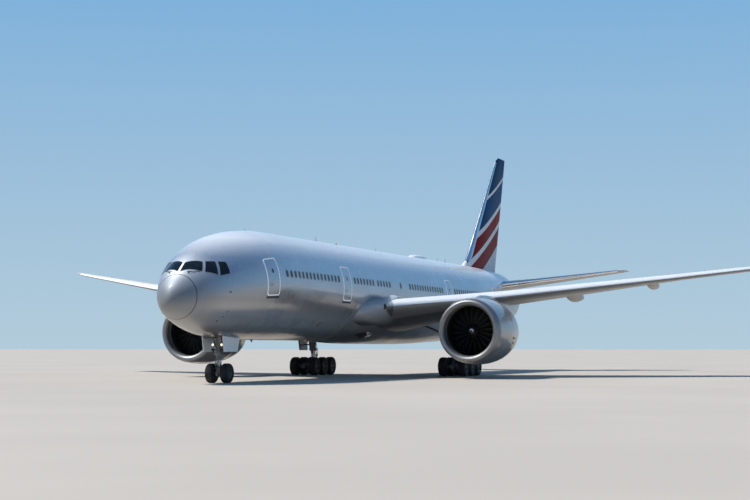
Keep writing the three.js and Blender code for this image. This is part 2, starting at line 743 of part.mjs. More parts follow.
const stabiliser = {
  camber: false,
  place: (span, along, up) => vector(span, along, up),
  table: [
    { span: 600, lead: 52700, chord: 7700, height: 6950, ratio: 0.1, twist: 0 },
    { span: 1500, lead: 53500, chord: 7150, height: 7080, ratio: 0.1, twist: 0 },
    { span: 10350, lead: 60950, chord: 2700, height: 8480, ratio: 0.09, twist: 0 },
    { span: 10760, lead: 61650, chord: 2080, height: 8545, ratio: 0.04, twist: 0 },
  ],
};
const elevator = { from: 2050, to: 9900, share: 0.7 };
const wholeStabiliser = cut(surfaceSolid(stabiliser), tailBody);
const elevatorTools = controlTools(stabiliser, elevator);
addPair("elevator_SIDE", wholeStabiliser.intersect(elevatorTools.moving), finish.grey);
addPair("stabiliser_SIDE", cut(wholeStabiliser, elevatorTools.opening), finish.grey);

// Landing gear wheels: both wheels and their axle turned in one profile about X

const wheelFacets = 16;

function wheelPair({ tyreRadius, tyreWidth, track }, axle) {
  // A flat of the tread rests on the ground
  const tread = tyreRadius / Math.cos(Math.PI / wheelFacets);
  const rim = tyreRadius * 0.5;
  const wheel = [
    // share of half the tyre's width, radius
    [1, 0],
    [0.66, 0.8 * rim],
    [0.98, rim],
    [1, 0.8 * tyreRadius],
    [0.62, tread],
    [-0.62, tread],
    [-1, 0.8 * tyreRadius],
    [-0.98, rim],
    [-0.75, axle],
  ];
  const half = wheel.map(([share, radius]) => [track / 2 + (share * tyreWidth) / 2, radius]);
  const mirroredHalf = half.toReversed().map(([along, radius]) => [-along, radius]);
  return turned([...half, ...mirroredHalf], "x", wheelFacets);
}

const mainAxle = 125;
const mainWheels = wheelPair(mainGear, mainAxle);
["front", "middle", "rear"].forEach((word, i) => {
  const axlePlace = vector(mainGear.x, mainGear.y + (i - 1) * mainGear.axleStep, mainGear.tyreRadius);
  addPair(`main_wheels_${word}_SIDE`, mainWheels, finish.rubber, axlePlace);
});

// Bogie beam with a bore for each axle

const beam = { half: 190, up: 210, end: 1730 };
const beamBlock = boxAt([-beam.half, beam.half], [-beam.end, beam.end], [-beam.up, beam.up]);
const bores = [-1, 0, 1].map((i) => {
  const middle = vector(0, i * mainGear.axleStep, 0);
  const reach = vector(beam.half + 10, 0, 0);
  const bore = mainAxle + clearance;
  return rod(middle.clone().sub(reach), middle.clone().add(reach), bore, bore, wheelFacets);
});
const beamPlace = vector(mainGear.x, mainGear.y, mainGear.tyreRadius);
addPair("bogie_beam_SIDE", cut(beamBlock, ...bores), finish.grey, beamPlace);

// Main leg, its braces, torsion links and the door on its outer side

const legFoot = mainGear.tyreRadius + beam.up + gap;
const legTop = surfacePoint(wing, mainGear.x, 0.78, -1).z + 300;
const legRods = [
  // from and to: out and aft from the middle axle, and height
  { from: [0, 0, 1700], to: [250, -250, legTop], radius: 235, endRadius: 280, facets: 10 }, // cylinder
  { from: [0, 0, legFoot + 60], to: [0, 0, 1760], radius: 160, facets: 10 }, // piston
  { from: [0, 0, 1750], to: [0, 0, 1900], radius: 290, facets: 10 }, // collar
  { from: [60, 0, 2300], to: [-2700, 100, 3500], radius: 85, facets: 6 }, // side brace
  { from: [60, 0, 2250], to: [200, -2300, 4000], radius: 85, facets: 6 }, // drag brace
  { from: [0, 200, 1780], to: [0, 560, 1400], radius: 55, facets: 6 }, // torsion links
  { from: [0, 560, 1400], to: [0, 150, 1020], radius: 55, facets: 6 },
];
const legBlocks = [
  { x: [-170, 170], y: [-200, 200], z: [legFoot, legFoot + 230] }, // pivot of the beam
  { x: [200, 700], y: [-300, -200], z: [2600, 2700] }, // links to the door
  { x: [200, 700], y: [0, 100], z: [2100, 2200] },
];
const legDoorCorners = [[640, -900, 1750], [640, 500, 1750], [760, 620, 3500], [760, -1100, 3500]];
const legDoorThickness = 60;
const byLeg = ([x, y, z]) => vector(mainGear.x + x, mainGear.y + y, z);
const besideLeg = (range, place) => range.map((value) => place + value);
const legRod = ({ from, to, radius, endRadius = radius, facets }) =>
  rod(byLeg(from), byLeg(to), radius, endRadius, facets);
const legBlock = ({ x, y, z }) => boxAt(besideLeg(x, mainGear.x), besideLeg(y, mainGear.y), z);
const legPieces = [...legRods.map(legRod), ...legBlocks.map(legBlock)];
const legDoor = plate(legDoorCorners.map(byLeg), vector(legDoorThickness, 0, 0));
const mainLeg = cut(join(...legPieces, legDoor), wingGrown, fairingGrown, wholeBody);
addPair("main_gear_leg_SIDE", mainLeg, finish.white);

// Nose gear: a fixed outer leg, and the lower leg that steers with its wheels

const noseAxle = 80;
const steeringSplit = 1420;
const splitBelow = steeringSplit - clearance / 2;
const splitAbove = steeringSplit + clearance / 2;
const bayRoof = noseBay.z[1] - gap;
const upperRods = [
  // from and to: x, aft of the axle, and height
  { from: [0, 0, splitAbove], to: [0, 0, bayRoof], radius: 190, facets: 10 }, // leg
  { from: [0, 0, 1500], to: [0, 0, 1680], radius: 250, facets: 10 }, // steering collar
  { from: [-150, 0, 1850], to: [-330, -940, 3200], radius: 55, facets: 6 }, // drag brace
  { from: [150, 0, 1850], to: [330, -940, 3200], radius: 55, facets: 6 },
  { from: [-250, -300, 1800], to: [-250, -120, 1800], radius: 100, facets: 8 }, // lamps
  { from: [250, -300, 1800], to: [250, -120, 1800], radius: 100, facets: 8 },
];
const upperBlocks = [
  { x: [-400, 400], y: [-980, -860], z: [3120, bayRoof] }, // head of the brace
  { x: [-330, 330], y: [-150, -60], z: [1760, 1840] }, // lamp bar
];
const lowerRods = [
  { from: [0, 0, 600], to: [0, 0, splitBelow], radius: 125, facets: 10 }, // piston
  { from: [0, 0, steeringSplit - 150], to: [0, 0, splitBelow], radius: 210, facets: 10 }, // collar
  { from: [0, -170, 1330], to: [0, -430, 1060], radius: 45, facets: 6 }, // torsion links
  { from: [0, -430, 1060], to: [0, -110, 760], radius: 45, facets: 6 },
];
const lowerBlocks = [
  { x: [-150, 150], y: [-150, 150], z: [noseGear.tyreRadius - 150, noseGear.tyreRadius + 190] }, // hub
  { x: [-60, 60], y: [-330, -100], z: [noseGear.tyreRadius - 130, noseGear.tyreRadius - 30] }, // tow lug
];
const hubBoreReach = 160;
const byNoseLeg = ([x, y, z]) => vector(x, noseGear.y + y, z);
const noseRods = (rows) =>
  rows.map(({ from, to, radius, facets }) => rod(byNoseLeg(from), byNoseLeg(to), radius, radius, facets));
const noseBlocks = (rows) => rows.map(({ x, y, z }) => boxAt(x, besideLeg(y, noseGear.y), z));
addNode("nose_gear_leg", join(...noseRods(upperRods), ...noseBlocks(upperBlocks)), finish.white);

const noseBore = noseAxle + clearance;
const boreEnds = [-hubBoreReach, hubBoreReach].map((x) => byNoseLeg([x, 0, noseGear.tyreRadius]));
const hubBore = rod(...boreEnds, noseBore, noseBore, wheelFacets);
const lowerNoseLeg = join(...noseRods(lowerRods), ...noseBlocks(lowerBlocks));
addNode("nose_gear_steering", cut(lowerNoseLeg, hubBore), finish.white);
const nosePlace = new THREE.Group();
nosePlace.position.set(0, noseGear.y, noseGear.tyreRadius);
airframe.add(nosePlace);
addNode("nose_wheels", wheelPair(noseGear, noseAxle), finish.rubber, nosePlace);

const noseDoorCorners = [[600, -700, 1700], [600, 950, 1700], [600, 1250, 2560], [600, -900, 2560]];
const noseDoorThickness = 40;
const noseDoor = plate(noseDoorCorners.map(byNoseLeg), vector(noseDoorThickness, 0, 0));
addPair("nose_gear_door_SIDE", cut(noseDoor, wholeBody), finish.white);

const root = new THREE.Group();
root.scale.setScalar(modelScale);
root.add(airframe);

export default root;
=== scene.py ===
import math
import bmesh
import bpy
from mathutils import Matrix, Vector


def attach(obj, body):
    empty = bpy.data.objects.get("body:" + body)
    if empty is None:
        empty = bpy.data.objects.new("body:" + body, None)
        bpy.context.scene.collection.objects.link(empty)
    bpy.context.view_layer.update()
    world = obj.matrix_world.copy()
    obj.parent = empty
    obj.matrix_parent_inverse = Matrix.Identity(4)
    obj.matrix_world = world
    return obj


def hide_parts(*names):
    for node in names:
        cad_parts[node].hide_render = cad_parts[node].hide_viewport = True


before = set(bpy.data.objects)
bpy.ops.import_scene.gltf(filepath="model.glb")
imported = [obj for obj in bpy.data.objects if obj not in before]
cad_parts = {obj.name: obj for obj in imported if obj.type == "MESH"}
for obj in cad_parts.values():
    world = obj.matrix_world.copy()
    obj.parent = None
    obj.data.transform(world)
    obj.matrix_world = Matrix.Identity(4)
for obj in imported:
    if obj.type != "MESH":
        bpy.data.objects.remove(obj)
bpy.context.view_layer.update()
scene = bpy.context.scene
print("frame loaded:", len(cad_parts), "nodes")

# Until a mesh is made, places are in full size millimetres, with Y counted aft from the nose.
fullSize = {"perMetre": 2000.0, "middleStation": 31865.0}


def toModel(point):
    return Vector((point[0], point[1] - fullSize["middleStation"], point[2])) / fullSize["perMetre"]


# Node trees, for shaders and for geometry

def feed(tree, node, values):
    for key, value in values.items():
        if isinstance(value, bpy.types.NodeSocket):
            tree.links.new(value, node.inputs[key])
        else:
            node.inputs[key].default_value = value


def put(tree, kind, values=None, **settings):
    node = tree.nodes.new(kind)
    for key, value in settings.items():
        setattr(node, key, value)
    feed(tree, node, values or {})
    return node


def maths(tree, operation, *values):
    return put(tree, "ShaderNodeMath", dict(enumerate(values)), operation=operation).outputs[0]


def times(tree, a, b):
    return maths(tree, "MULTIPLY", a, b)


def minus(tree, a, b):
    return maths(tree, "SUBTRACT", a, b)


# A new group with its inputs as [label, type, value or None] and its outputs as [label, type].
def newTree(name, kind, inputs, outputs):
    tree = bpy.data.node_groups.new(name, kind + "NodeTree")
    for label, socketType, value in inputs:
        socket = tree.interface.new_socket(name=label, in_out="INPUT",
                                           socket_type="NodeSocket" + socketType)
        if value is not None:
            socket.default_value = value
    for label, socketType in outputs:
        tree.interface.new_socket(name=label, in_out="OUTPUT", socket_type="NodeSocket" + socketType)
    return tree, tree.nodes.new("NodeGroupInput"), tree.nodes.new("NodeGroupOutput")


# Shader groups

def noise(tree, place, scale, detail, roughness=0.5):
    values = {"Vector": place, "Scale": scale, "Detail": detail, "Roughness": roughness}
    return put(tree, "ShaderNodeTexNoise", values).outputs[0]


def makeEvenLines():
    tree, start, end = newTree("evenLines", "Shader",
                               [("Value", "Float", 0.0), ("Pitch", "Float", 1.0),
                                ("Width", "Float", 0.004)], [("Mask", "Float")])
    pitch = start.outputs["Pitch"]
    cells = maths(tree, "DIVIDE", start.outputs["Value"], pitch)
    offCentre = maths(tree, "ABSOLUTE", minus(tree, maths(tree, "FRACT", cells), 0.5))
    reach = {"Value": times(tree, offCentre, pitch), "From Min": start.outputs["Width"], "From Max": 0.0}
    feed(tree, end, {"Mask": put(tree, "ShaderNodeMapRange", reach,
                                 interpolation_type="SMOOTHSTEP").outputs[0]})
    return tree


weatherLook = {"fineScale": 90.0, "streakStretch": (5.0, 0.35, 5.0), "stain": (0.45, 0.7),
               "fine": (0.3, 0.7), "streak": (0.52, 0.75)}


def makeWeathering(look):
    tree, start, end = newTree(
        "weathering", "Shader",
        [("Place", "Vector", None), ("Patches", "Float", 1.0), ("Streaks", "Float", 1.0)],
        [("Stain", "Float"), ("Fine", "Float"), ("Streak", "Float")])
    place = start.outputs["Place"]
    patches = noise(tree, place, start.outputs["Patches"], 5.0, 0.6)
    fine = noise(tree, place, look["fineScale"], 3.0)
    slim = put(tree, "ShaderNodeMapping", {"Vector": place, "Scale": look["streakStretch"]}).outputs[0]
    streaks = noise(tree, slim, start.outputs["Streaks"], 4.0, 0.65)
    for name, value in (("Stain", patches), ("Fine", fine), ("Streak", streaks)):
        low, high = look[name.lower()]
        feed(tree, end, {name: ranged(tree, value, 0.0, 1.0, low, high)})
    return tree


def makeBrushed():
    tree, start, end = newTree(
        "brushed", "Shader",
        [("Place", "Vector", None), ("Stretch", "Vector", (1.0, 30.0, 30.0)), ("Scale", "Float", 6.0)],
        [("Grain", "Float")])
    slim = put(tree, "ShaderNodeMapping", {"Vector": start.outputs["Place"],
                                           "Scale": start.outputs["Stretch"]})
    feed(tree, end, {"Grain": noise(tree, slim.outputs[0], start.outputs["Scale"], 4.0, 0.7)})
    return tree


def makeBand():
    tree, start, end = newTree(
        "band", "Shader", [("Value", "Float", 0.0), ("Low", "Float", 0.0), ("High", "Float", 1.0)],
        [("Mask", "Float")])
    above = maths(tree, "GREATER_THAN", start.outputs["Value"], start.outputs["Low"])
    below = maths(tree, "LESS_THAN", start.outputs["Value"], start.outputs["High"])
    feed(tree, end, {"Mask": times(tree, above, below)})
    return tree


def group(tree, shared, values, output):
    return put(tree, "ShaderNodeGroup", values, node_tree=shared).outputs[output]


def mixed(tree, share, low, high):
    node = put(tree, "ShaderNodeMix", {"Factor": share}, data_type="RGBA")
    for key, value in (("A", low), ("B", high)):
        socket = [s for s in node.inputs if s.name == key and s.type == "RGBA"][0]
        if isinstance(value, bpy.types.NodeSocket):
            tree.links.new(value, socket)
        else:
            socket.default_value = (*value, 1.0)
    return [s for s in node.outputs if s.type == "RGBA"][0]


def ranged(tree, value, low, high, start=0.0, stop=1.0):
    values = {"Value": value, "From Min": start, "From Max": stop, "To Min": low, "To Max": high}
    return put(tree, "ShaderNodeMapRange", values).outputs[0]


evenLines = makeEvenLines()
weathering = makeWeathering(weatherLook)
brushed = makeBrushed()
bandOf = makeBand()


def stainAt(tree, place, patches):
    return group(tree, weathering, {"Place": place, "Patches": patches}, "Stain")


def fineAt(tree, place):
    return group(tree, weathering, {"Place": place}, "Fine")


def streakAt(tree, place, streaks):
    return group(tree, weathering, {"Place": place, "Streaks": streaks}, "Streak")


def seamsAt(tree, value, pitch, width):
    return group(tree, evenLines, {"Value": value, "Pitch": pitch, "Width": width}, "Mask")


def within(tree, value, low, high):
    return group(tree, bandOf, {"Value": value, "Low": low, "High": high}, "Mask")


# How far a surface faces up, from -1 to 1.
def facingUp(tree):
    normal = put(tree, "ShaderNodeNewGeometry").outputs["Normal"]
    return put(tree, "ShaderNodeSeparateXYZ", {0: normal}).outputs["Z"]


# A material with its shader, where it reads the surface, and that place as three numbers.
def newMaterial(name, **sockets):
    material = bpy.data.materials.new(name)
    material.use_nodes = True
    tree = material.node_tree
    shader = tree.nodes["Principled BSDF"]
    feed(tree, shader, {key.replace("_", " "): value for key, value in sockets.items()})
    place = put(tree, "ShaderNodeTexCoord").outputs["Object"]
    parts = put(tree, "ShaderNodeSeparateXYZ", {0: place})
    return material, tree, shader, place, parts.outputs


def bumped(tree, shader, height, strength, distance=0.001):
    bump = put(tree, "ShaderNodeBump", {"Height": height, "Strength": strength, "Distance": distance})
    feed(tree, shader, {"Normal": bump.outputs[0]})


# Finishes

# Mica paint: its shades are [height, colour] and paint light and shade by height. It is less metallic on
# the crown.
skinLook = {
    # Painted shade on the belly, a painted reflection band low on the side, a bluish painted reflection
    # above it, a pale painted sunlit crown.
    "shades": [(1.3, (0.065, 0.065, 0.067)), (1.6, (0.42, 0.425, 0.43)), (1.85, (0.48, 0.485, 0.50)),
               (2.25, (0.31, 0.315, 0.33)), (3.2, (0.50, 0.54, 0.60)), (3.95, (0.86, 0.88, 0.91))],
    "lowMetallic": 0.6, "lowFrom": 1.5, "lowTo": 2.1,
    "patches": 0.7, "stained": 0.07, "stainColour": (0.38, 0.40, 0.42), "stainRough": 0.1,
    "streaks": 1.4, "streaked": 0.06, "streakColour": (0.30, 0.30, 0.29),
    "crownFrom": 3.35, "crownTo": 3.95, "metallicSide": 0.75, "metallicCrown": 0.12,
    "roughness": 0.27, "noseRoughness": 0.6, "noseMetallic": 0.4, "noseFrom": -15.9, "noseTo": -14.6,
    "noseReflectionShare": 0.85,
    # Painted reflection bands across the nose, dark and pale by height, in place of the body's shades.
    "noseReflectionBands": [(1.7, (0.30, 0.28, 0.26)), (2.0, (0.22, 0.22, 0.22)), (2.4, (0.13, 0.155, 0.19)),
                   (2.7, (0.19, 0.225, 0.27)), (3.0, (0.52, 0.56, 0.60)), (3.3, (0.86, 0.88, 0.91))],
    "coat": 0.5, "coatRoughness": 0.08, "frameSeams": 1.6, "lapSeams": 0.5236, "seamWidth": 0.006,
    "lapWidth": 0.003, "seamShare": 0.42, "seamColour": (0.16, 0.17, 0.18), "axisHeight": 2.725,
    "fineRough": (-0.03, 0.05), "fineRise": 0.04, "bump": 0.35,
}


# Rows of [height, colour], mixed from one to the next.
def byHeight(tree, value, shades):
    (start, colour), *rest = shades
    for height, shade in rest:
        colour = mixed(tree, ranged(tree, value, 0.0, 1.0, start, height), colour, shade)
        start = height
    return colour


def makeSkinPaint(name="silverPaint", look=skinLook, aroundBody=True):
    material, tree, shader, place, at = newMaterial(name, Coat_Roughness=look["coatRoughness"])
    noseSpan = look["noseFrom"], look["noseTo"]
    crown = ranged(tree, at["Z"], look["metallicSide"], look["metallicCrown"], look["crownFrom"],
                   look["crownTo"])
    nose = ranged(tree, at["Y"], look["noseMetallic"], 1.0, *noseSpan)
    low = ranged(tree, at["Z"], look["lowMetallic"], 1.0, look["lowFrom"], look["lowTo"])
    # Painted light and shade by height.
    colour = byHeight(tree, at["Z"], look["shades"])
    # Near the nose the paint takes the painted reflection bands.
    atNose = ranged(tree, at["Y"], look["noseReflectionShare"], 0.0, *noseSpan)
    colour = mixed(tree, atNose, colour, byHeight(tree, at["Z"], look["noseReflectionBands"]))
    stain = stainAt(tree, place, look["patches"])
    fine = fineAt(tree, place)
    streak = streakAt(tree, place, look["streaks"])
    colour = mixed(tree, times(tree, stain, look["stained"]), colour, look["stainColour"])
    colour = mixed(tree, times(tree, streak, look["streaked"]), colour, look["streakColour"])
    seams = seamsAt(tree, at["Y"], look["frameSeams"], look["seamWidth"])
    if aroundBody:
        side = maths(tree, "ARCTAN2", at["X"], minus(tree, at["Z"], look["axisHeight"]))
        seams = maths(tree, "MAXIMUM", seams, seamsAt(tree, side, look["lapSeams"], look["lapWidth"]))
    base = ranged(tree, at["Y"], look["noseRoughness"], look["roughness"], *noseSpan)
    stained = maths(tree, "ADD", base, times(tree, stain, look["stainRough"]))
    feed(tree, shader, {
        "Base Color": mixed(tree, times(tree, seams, look["seamShare"]), colour, look["seamColour"]),
        "Metallic": times(tree, times(tree, crown, nose), low),
        "Coat Weight": ranged(tree, at["Y"], 0.0, look["coat"], *noseSpan),
        "Roughness": maths(tree, "ADD", ranged(tree, fine, *look["fineRough"]), stained)})
    bumped(tree, shader, minus(tree, times(tree, fine, look["fineRise"]), seams), look["bump"])
    return material


# Grey paint of the wings, with painted shade on the faces that look down, darkest near the body, and
# silvery beside the body with the body's painted shades.
wingLook = {
    "upper": (0.50, 0.52, 0.54), "lower": (0.40, 0.38, 0.35), "ribs": 0.95, "spars": 0.62,
    "seamWidth": 0.005, "innerShade": (0.10, 0.098, 0.098), "innerShadeFrom": 3.4, "innerShadeTo": 5.6, "roughness": 0.42,
    "moreRough": 0.14, "sweep": 0.62, "root": 1.92, "rootFade": 0.04, "rootDownFrom": -0.95,
    "rootDownTo": -0.7, "turnFrom": -0.2, "turnTo": 0.2,
    "rootPaintedShades": [(1.2, (0.17, 0.165, 0.165)), (1.75, (0.33, 0.33, 0.34)), (2.25, (0.40, 0.415, 0.44))],
    "metallic": 0.25, "rootMetallic": 0.55, "coat": 0.15, "coatRoughness": 0.25, "patches": 0.9,
    "stained": 0.22, "stainColour": (0.30, 0.30, 0.30), "streaks": 2.2, "streaked": 0.3,
    "streakColour": (0.17, 0.16, 0.15), "seamShare": 0.5, "seamColour": (0.13, 0.13, 0.13),
    "fineRise": 0.05, "bump": 0.35,
}


def makeWingPaint(name="greyPaint", look=wingLook):
    material, tree, shader, place, at = newMaterial(
        name, Coat_Weight=look["coat"], Coat_Roughness=look["coatRoughness"])
    facing = facingUp(tree)
    out = maths(tree, "ABSOLUTE", at["X"])
    # Painted shade under the wing, darkest from the root out, fading towards the engines.
    innerShade = ranged(tree, out, 1.0, 0.0, look["innerShadeFrom"], look["innerShadeTo"])
    lower = mixed(tree, innerShade, look["lower"], look["innerShade"])
    nearRoot = ranged(tree, out, 1.0, 0.0, look["root"], look["root"] + look["rootFade"])
    # The darker, warmer lower colour on faces that look down is a painted shade.
    above = ranged(tree, facing, 0.0, 1.0, look["turnFrom"], look["turnTo"])
    colour = mixed(tree, above, lower, look["upper"])
    notBelow = ranged(tree, facing, 0.0, 1.0, look["rootDownFrom"], look["rootDownTo"])
    colour = mixed(tree, times(tree, nearRoot, notBelow), colour,
                   byHeight(tree, at["Z"], look["rootPaintedShades"]))
    stain = stainAt(tree, place, look["patches"])
    streak = streakAt(tree, place, look["streaks"])
    colour = mixed(tree, times(tree, stain, look["stained"]), colour, look["stainColour"])
    colour = mixed(tree, times(tree, streak, look["streaked"]), colour, look["streakColour"])
    ribs = seamsAt(tree, out, look["ribs"], look["seamWidth"])
    swept = minus(tree, at["Y"], times(tree, out, look["sweep"]))
    seams = maths(tree, "MAXIMUM", ribs, seamsAt(tree, swept, look["spars"], look["seamWidth"]))
    feed(tree, shader, {
        "Base Color": mixed(tree, times(tree, seams, look["seamShare"]), colour, look["seamColour"]),
        "Metallic": ranged(tree, nearRoot, look["metallic"], look["rootMetallic"]),
        "Roughness": ranged(tree, stain, look["roughness"], look["roughness"] + look["moreRough"])})
    bumped(tree, shader, minus(tree, times(tree, fineAt(tree, place), look["fineRise"]), seams),
           look["bump"])
    return material


metalLook = {"patches": 1.6, "dull": 0.72, "stained": 0.6, "stainRough": 0.1, "grainRough": (-0.05, 0.12),
             "shadeFacing": (-0.15, 0.12), "bump": 0.08}


# Metal with a grain; under is a painted shade for the faces that look down, where it differs.
def makeBareMetal(name, colour, roughness, stretch, metallic=1.0, under=None):
    material, tree, shader, place, _ = newMaterial(name, Metallic=metallic)
    grain = group(tree, brushed, {"Place": place, "Stretch": stretch}, "Grain")
    stain = stainAt(tree, place, metalLook["patches"])
    dull = tuple(c * metalLook["dull"] for c in colour)
    finish = mixed(tree, times(tree, stain, metalLook["stained"]), colour, dull)
    if under:
        finish = mixed(tree, ranged(tree, facingUp(tree), 0.0, 1.0, *metalLook["shadeFacing"]), under, finish)
    stained = ranged(tree, stain, roughness, roughness + metalLook["stainRough"])
    grainRough = ranged(tree, grain, *metalLook["grainRough"])
    feed(tree, shader, {"Base Color": finish, "Roughness": maths(tree, "ADD", grainRough, stained)})
    bumped(tree, shader, grain, metalLook["bump"])
    return material


# The tail's bands slope back: each is [lowest, highest] along the slope, and a colour.
finLook = {
    "slope": 0.42, "originY": 12.3, "originZ": 6.3, "silver": (0.60, 0.62, 0.65), "metallic": 0.0,
    "shine": 0.05, "patches": 0.8, "stained": 0.08, "stainColour": (0.10, 0.11, 0.13),
    "roughness": (0.42, 0.55), "edge": 0.4, "edgeSlope": 0.958, "edgeStart": 9.14, "edgeHeight": 4.7,
    "ribs": 0.8, "ribWidth": 0.004, "ribShare": 0.35, "ribColour": (0.05, 0.05, 0.06), "bump": 0.3,
    "bands": [
        (-20.0, -1.55, (0.58, 0.61, 0.65)), (-1.55, -0.85, (0.20, 0.003, 0.004)),
        (-0.85, -0.62, (0.66, 0.68, 0.71)), (-0.62, -0.08, (0.20, 0.003, 0.004)),
        (-0.08, 0.12, (0.66, 0.68, 0.71)), (0.12, 1.0, (0.002, 0.050, 0.15)),
        (1.0, 1.12, (0.66, 0.68, 0.71)), (1.12, 2.2, (0.002, 0.038, 0.11)),
        (2.2, 2.32, (0.5, 0.58, 0.68)), (2.32, 20.0, (0.001, 0.028, 0.085)),
    ],
}


def makeFinPaint(name, look):
    material, tree, shader, place, at = newMaterial(
        name, Metallic=look["metallic"], Specular_IOR_Level=look["shine"])
    back = minus(tree, at["Y"], look["originY"])
    along = minus(tree, minus(tree, at["Z"], look["originZ"]), times(tree, back, look["slope"]))
    colour = look["silver"]
    for low, high, tint in look["bands"]:
        colour = mixed(tree, within(tree, along, low, high), colour, tint)
    lead = times(tree, minus(tree, at["Z"], look["edgeHeight"]), look["edgeSlope"])
    behind = minus(tree, minus(tree, at["Y"], look["edgeStart"]), lead)
    colour = mixed(tree, maths(tree, "LESS_THAN", behind, look["edge"]), colour, look["silver"])
    stain = stainAt(tree, place, look["patches"])
    colour = mixed(tree, times(tree, stain, look["stained"]), colour, look["stainColour"])
    ribs = seamsAt(tree, at["Z"], look["ribs"], look["ribWidth"])
    feed(tree, shader, {"Base Color": mixed(tree, times(tree, ribs, look["ribShare"]), colour,
                                            look["ribColour"]),
                        "Roughness": ranged(tree, stain, *look["roughness"])})
    bumped(tree, shader, minus(tree, times(tree, fineAt(tree, place), 0.05), ribs), look["bump"])
    return material


coatingLook = {"coatRoughness": 0.3, "stainRough": 0.2, "bumpReach": 0.0008}


def makeCoated(name, clean, dirt, roughness, metallic=0.0, coat=0.1, scale=2.0, share=0.5, height=0.15,
               glow=0.0):
    material, tree, shader, place, _ = newMaterial(
        name, Metallic=metallic, Coat_Weight=coat, Coat_Roughness=coatingLook["coatRoughness"],
        Emission_Strength=glow)
    stain = stainAt(tree, place, scale)
    rough = min(roughness + coatingLook["stainRough"], 1.0)
    feed(tree, shader, {"Base Color": mixed(tree, times(tree, stain, share), clean, dirt),
                        "Roughness": ranged(tree, stain, roughness, rough)})
    bumped(tree, shader, fineAt(tree, place), height, coatingLook["bumpReach"])
    return material


# Rubber, dusty near the ground.
tyreLook = {"clean": (0.014, 0.014, 0.015), "dusty": (0.075, 0.07, 0.065), "dustBelow": 0.5,
            "dust": (0.55, 0.1), "patches": 3.5, "roughness": (0.72, 0.92), "bump": 0.4}


def makeTyre(name, look):
    material, tree, shader, place, at = newMaterial(name, Metallic=0.0)
    fine = fineAt(tree, place)
    dust = ranged(tree, at["Z"], *look["dust"], 0.0, look["dustBelow"])
    share = times(tree, stainAt(tree, place, look["patches"]), dust)
    feed(tree, shader, {"Base Color": mixed(tree, share, look["clean"], look["dusty"]),
                        "Roughness": ranged(tree, fine, *look["roughness"])})
    bumped(tree, shader, fine, look["bump"])
    return material


glassLook = {"clean": (0.004, 0.006, 0.010), "marked": (0.010, 0.014, 0.020), "roughness": (0.05, 0.14),
             "coat": 0.15, "coatRoughness": 0.03, "specular": 0.4, "patches": 5.0}


def makeGlass(name, look):
    material, tree, shader, place, _ = newMaterial(
        name, Metallic=0.0, Coat_Weight=look["coat"], Coat_Roughness=look["coatRoughness"],
        Specular_IOR_Level=look["specular"])
    stain = stainAt(tree, place, look["patches"])
    feed(tree, shader, {"Base Color": mixed(tree, stain, look["clean"], look["marked"]),
                        "Roughness": ranged(tree, stain, *look["roughness"])})
    return material


lampLook = {"glow": 1.1, "roughness": 0.1, "patches": 40.0, "lens": ((0.85, 0.86, 0.84), (0.6, 0.62, 0.62)),
            "light": ((1.0, 0.86, 0.58), (0.8, 0.62, 0.36))}


def makeLamp(name, look):
    material, tree, shader, place, _ = newMaterial(
        name, Metallic=0.0, Roughness=look["roughness"], Emission_Strength=look["glow"])
    rings = stainAt(tree, place, look["patches"])
    feed(tree, shader, {"Base Color": mixed(tree, rings, *look["lens"]),
                        "Emission Color": mixed(tree, rings, *look["light"])})
    return material


# The inlet's lining: pale and perforated behind the lip, and dark further in with painted shade.
linerLook = {"pale": (0.30, 0.305, 0.31), "dark": (0.008, 0.0085, 0.009), "shadeStartAt": -5.50, "shadeFullAt": -5.36,
             "pitch": 0.018, "patches": 2.5, "spotted": 0.25, "roughness": (0.5, 0.7), "bump": 0.2}


def makeLiner(name, look):
    material, tree, shader, place, at = newMaterial(name, Metallic=0.1)
    stain = stainAt(tree, place, look["patches"])
    # Painted shade that deepens into the duct.
    deep = ranged(tree, at["Y"], 0.0, 1.0, look["shadeStartAt"], look["shadeFullAt"])
    shade = maths(tree, "MAXIMUM", deep, times(tree, stain, look["spotted"]))
    holes = put(tree, "ShaderNodeTexVoronoi", {"Vector": place, "Scale": 1 / look["pitch"]})
    pits = ranged(tree, holes.outputs["Distance"], 1.0, 0.0, 0.0, 0.35)
    feed(tree, shader, {"Base Color": mixed(tree, shade, look["pale"], look["dark"]),
                        "Roughness": ranged(tree, stain, *look["roughness"])})
    bumped(tree, shader, minus(tree, 1.0, pits), look["bump"], 0.0008)
    return material


# The spinner's painted spiral: an arm whose angle grows with the distance from the axis.
spiralLook = {"turns": 6.5, "arm": (0.36, 0.70), "from": 0.022, "to": 0.075, "dark": (0.012, 0.012, 0.013),
              "paint": (0.95, 0.95, 0.94)}


def makeSpinner(name, centreX, centreZ, look):
    material, tree, shader, _, at = newMaterial(name, Metallic=0.1, Coat_Weight=0.5, Roughness=0.4)
    x = minus(tree, at["X"], centreX)
    z = minus(tree, at["Z"], centreZ)
    radius = maths(tree, "SQRT", maths(tree, "ADD", times(tree, x, x), times(tree, z, z)))
    turn = maths(tree, "DIVIDE", maths(tree, "ARCTAN2", z, x), 2 * math.pi)
    spiral = maths(tree, "FRACT", maths(tree, "ADD", turn, times(tree, radius, look["turns"])))
    share = times(tree, within(tree, spiral, *look["arm"]), within(tree, radius, look["from"], look["to"]))
    feed(tree, shader, {"Base Color": mixed(tree, share, look["dark"], look["paint"])})
    return material


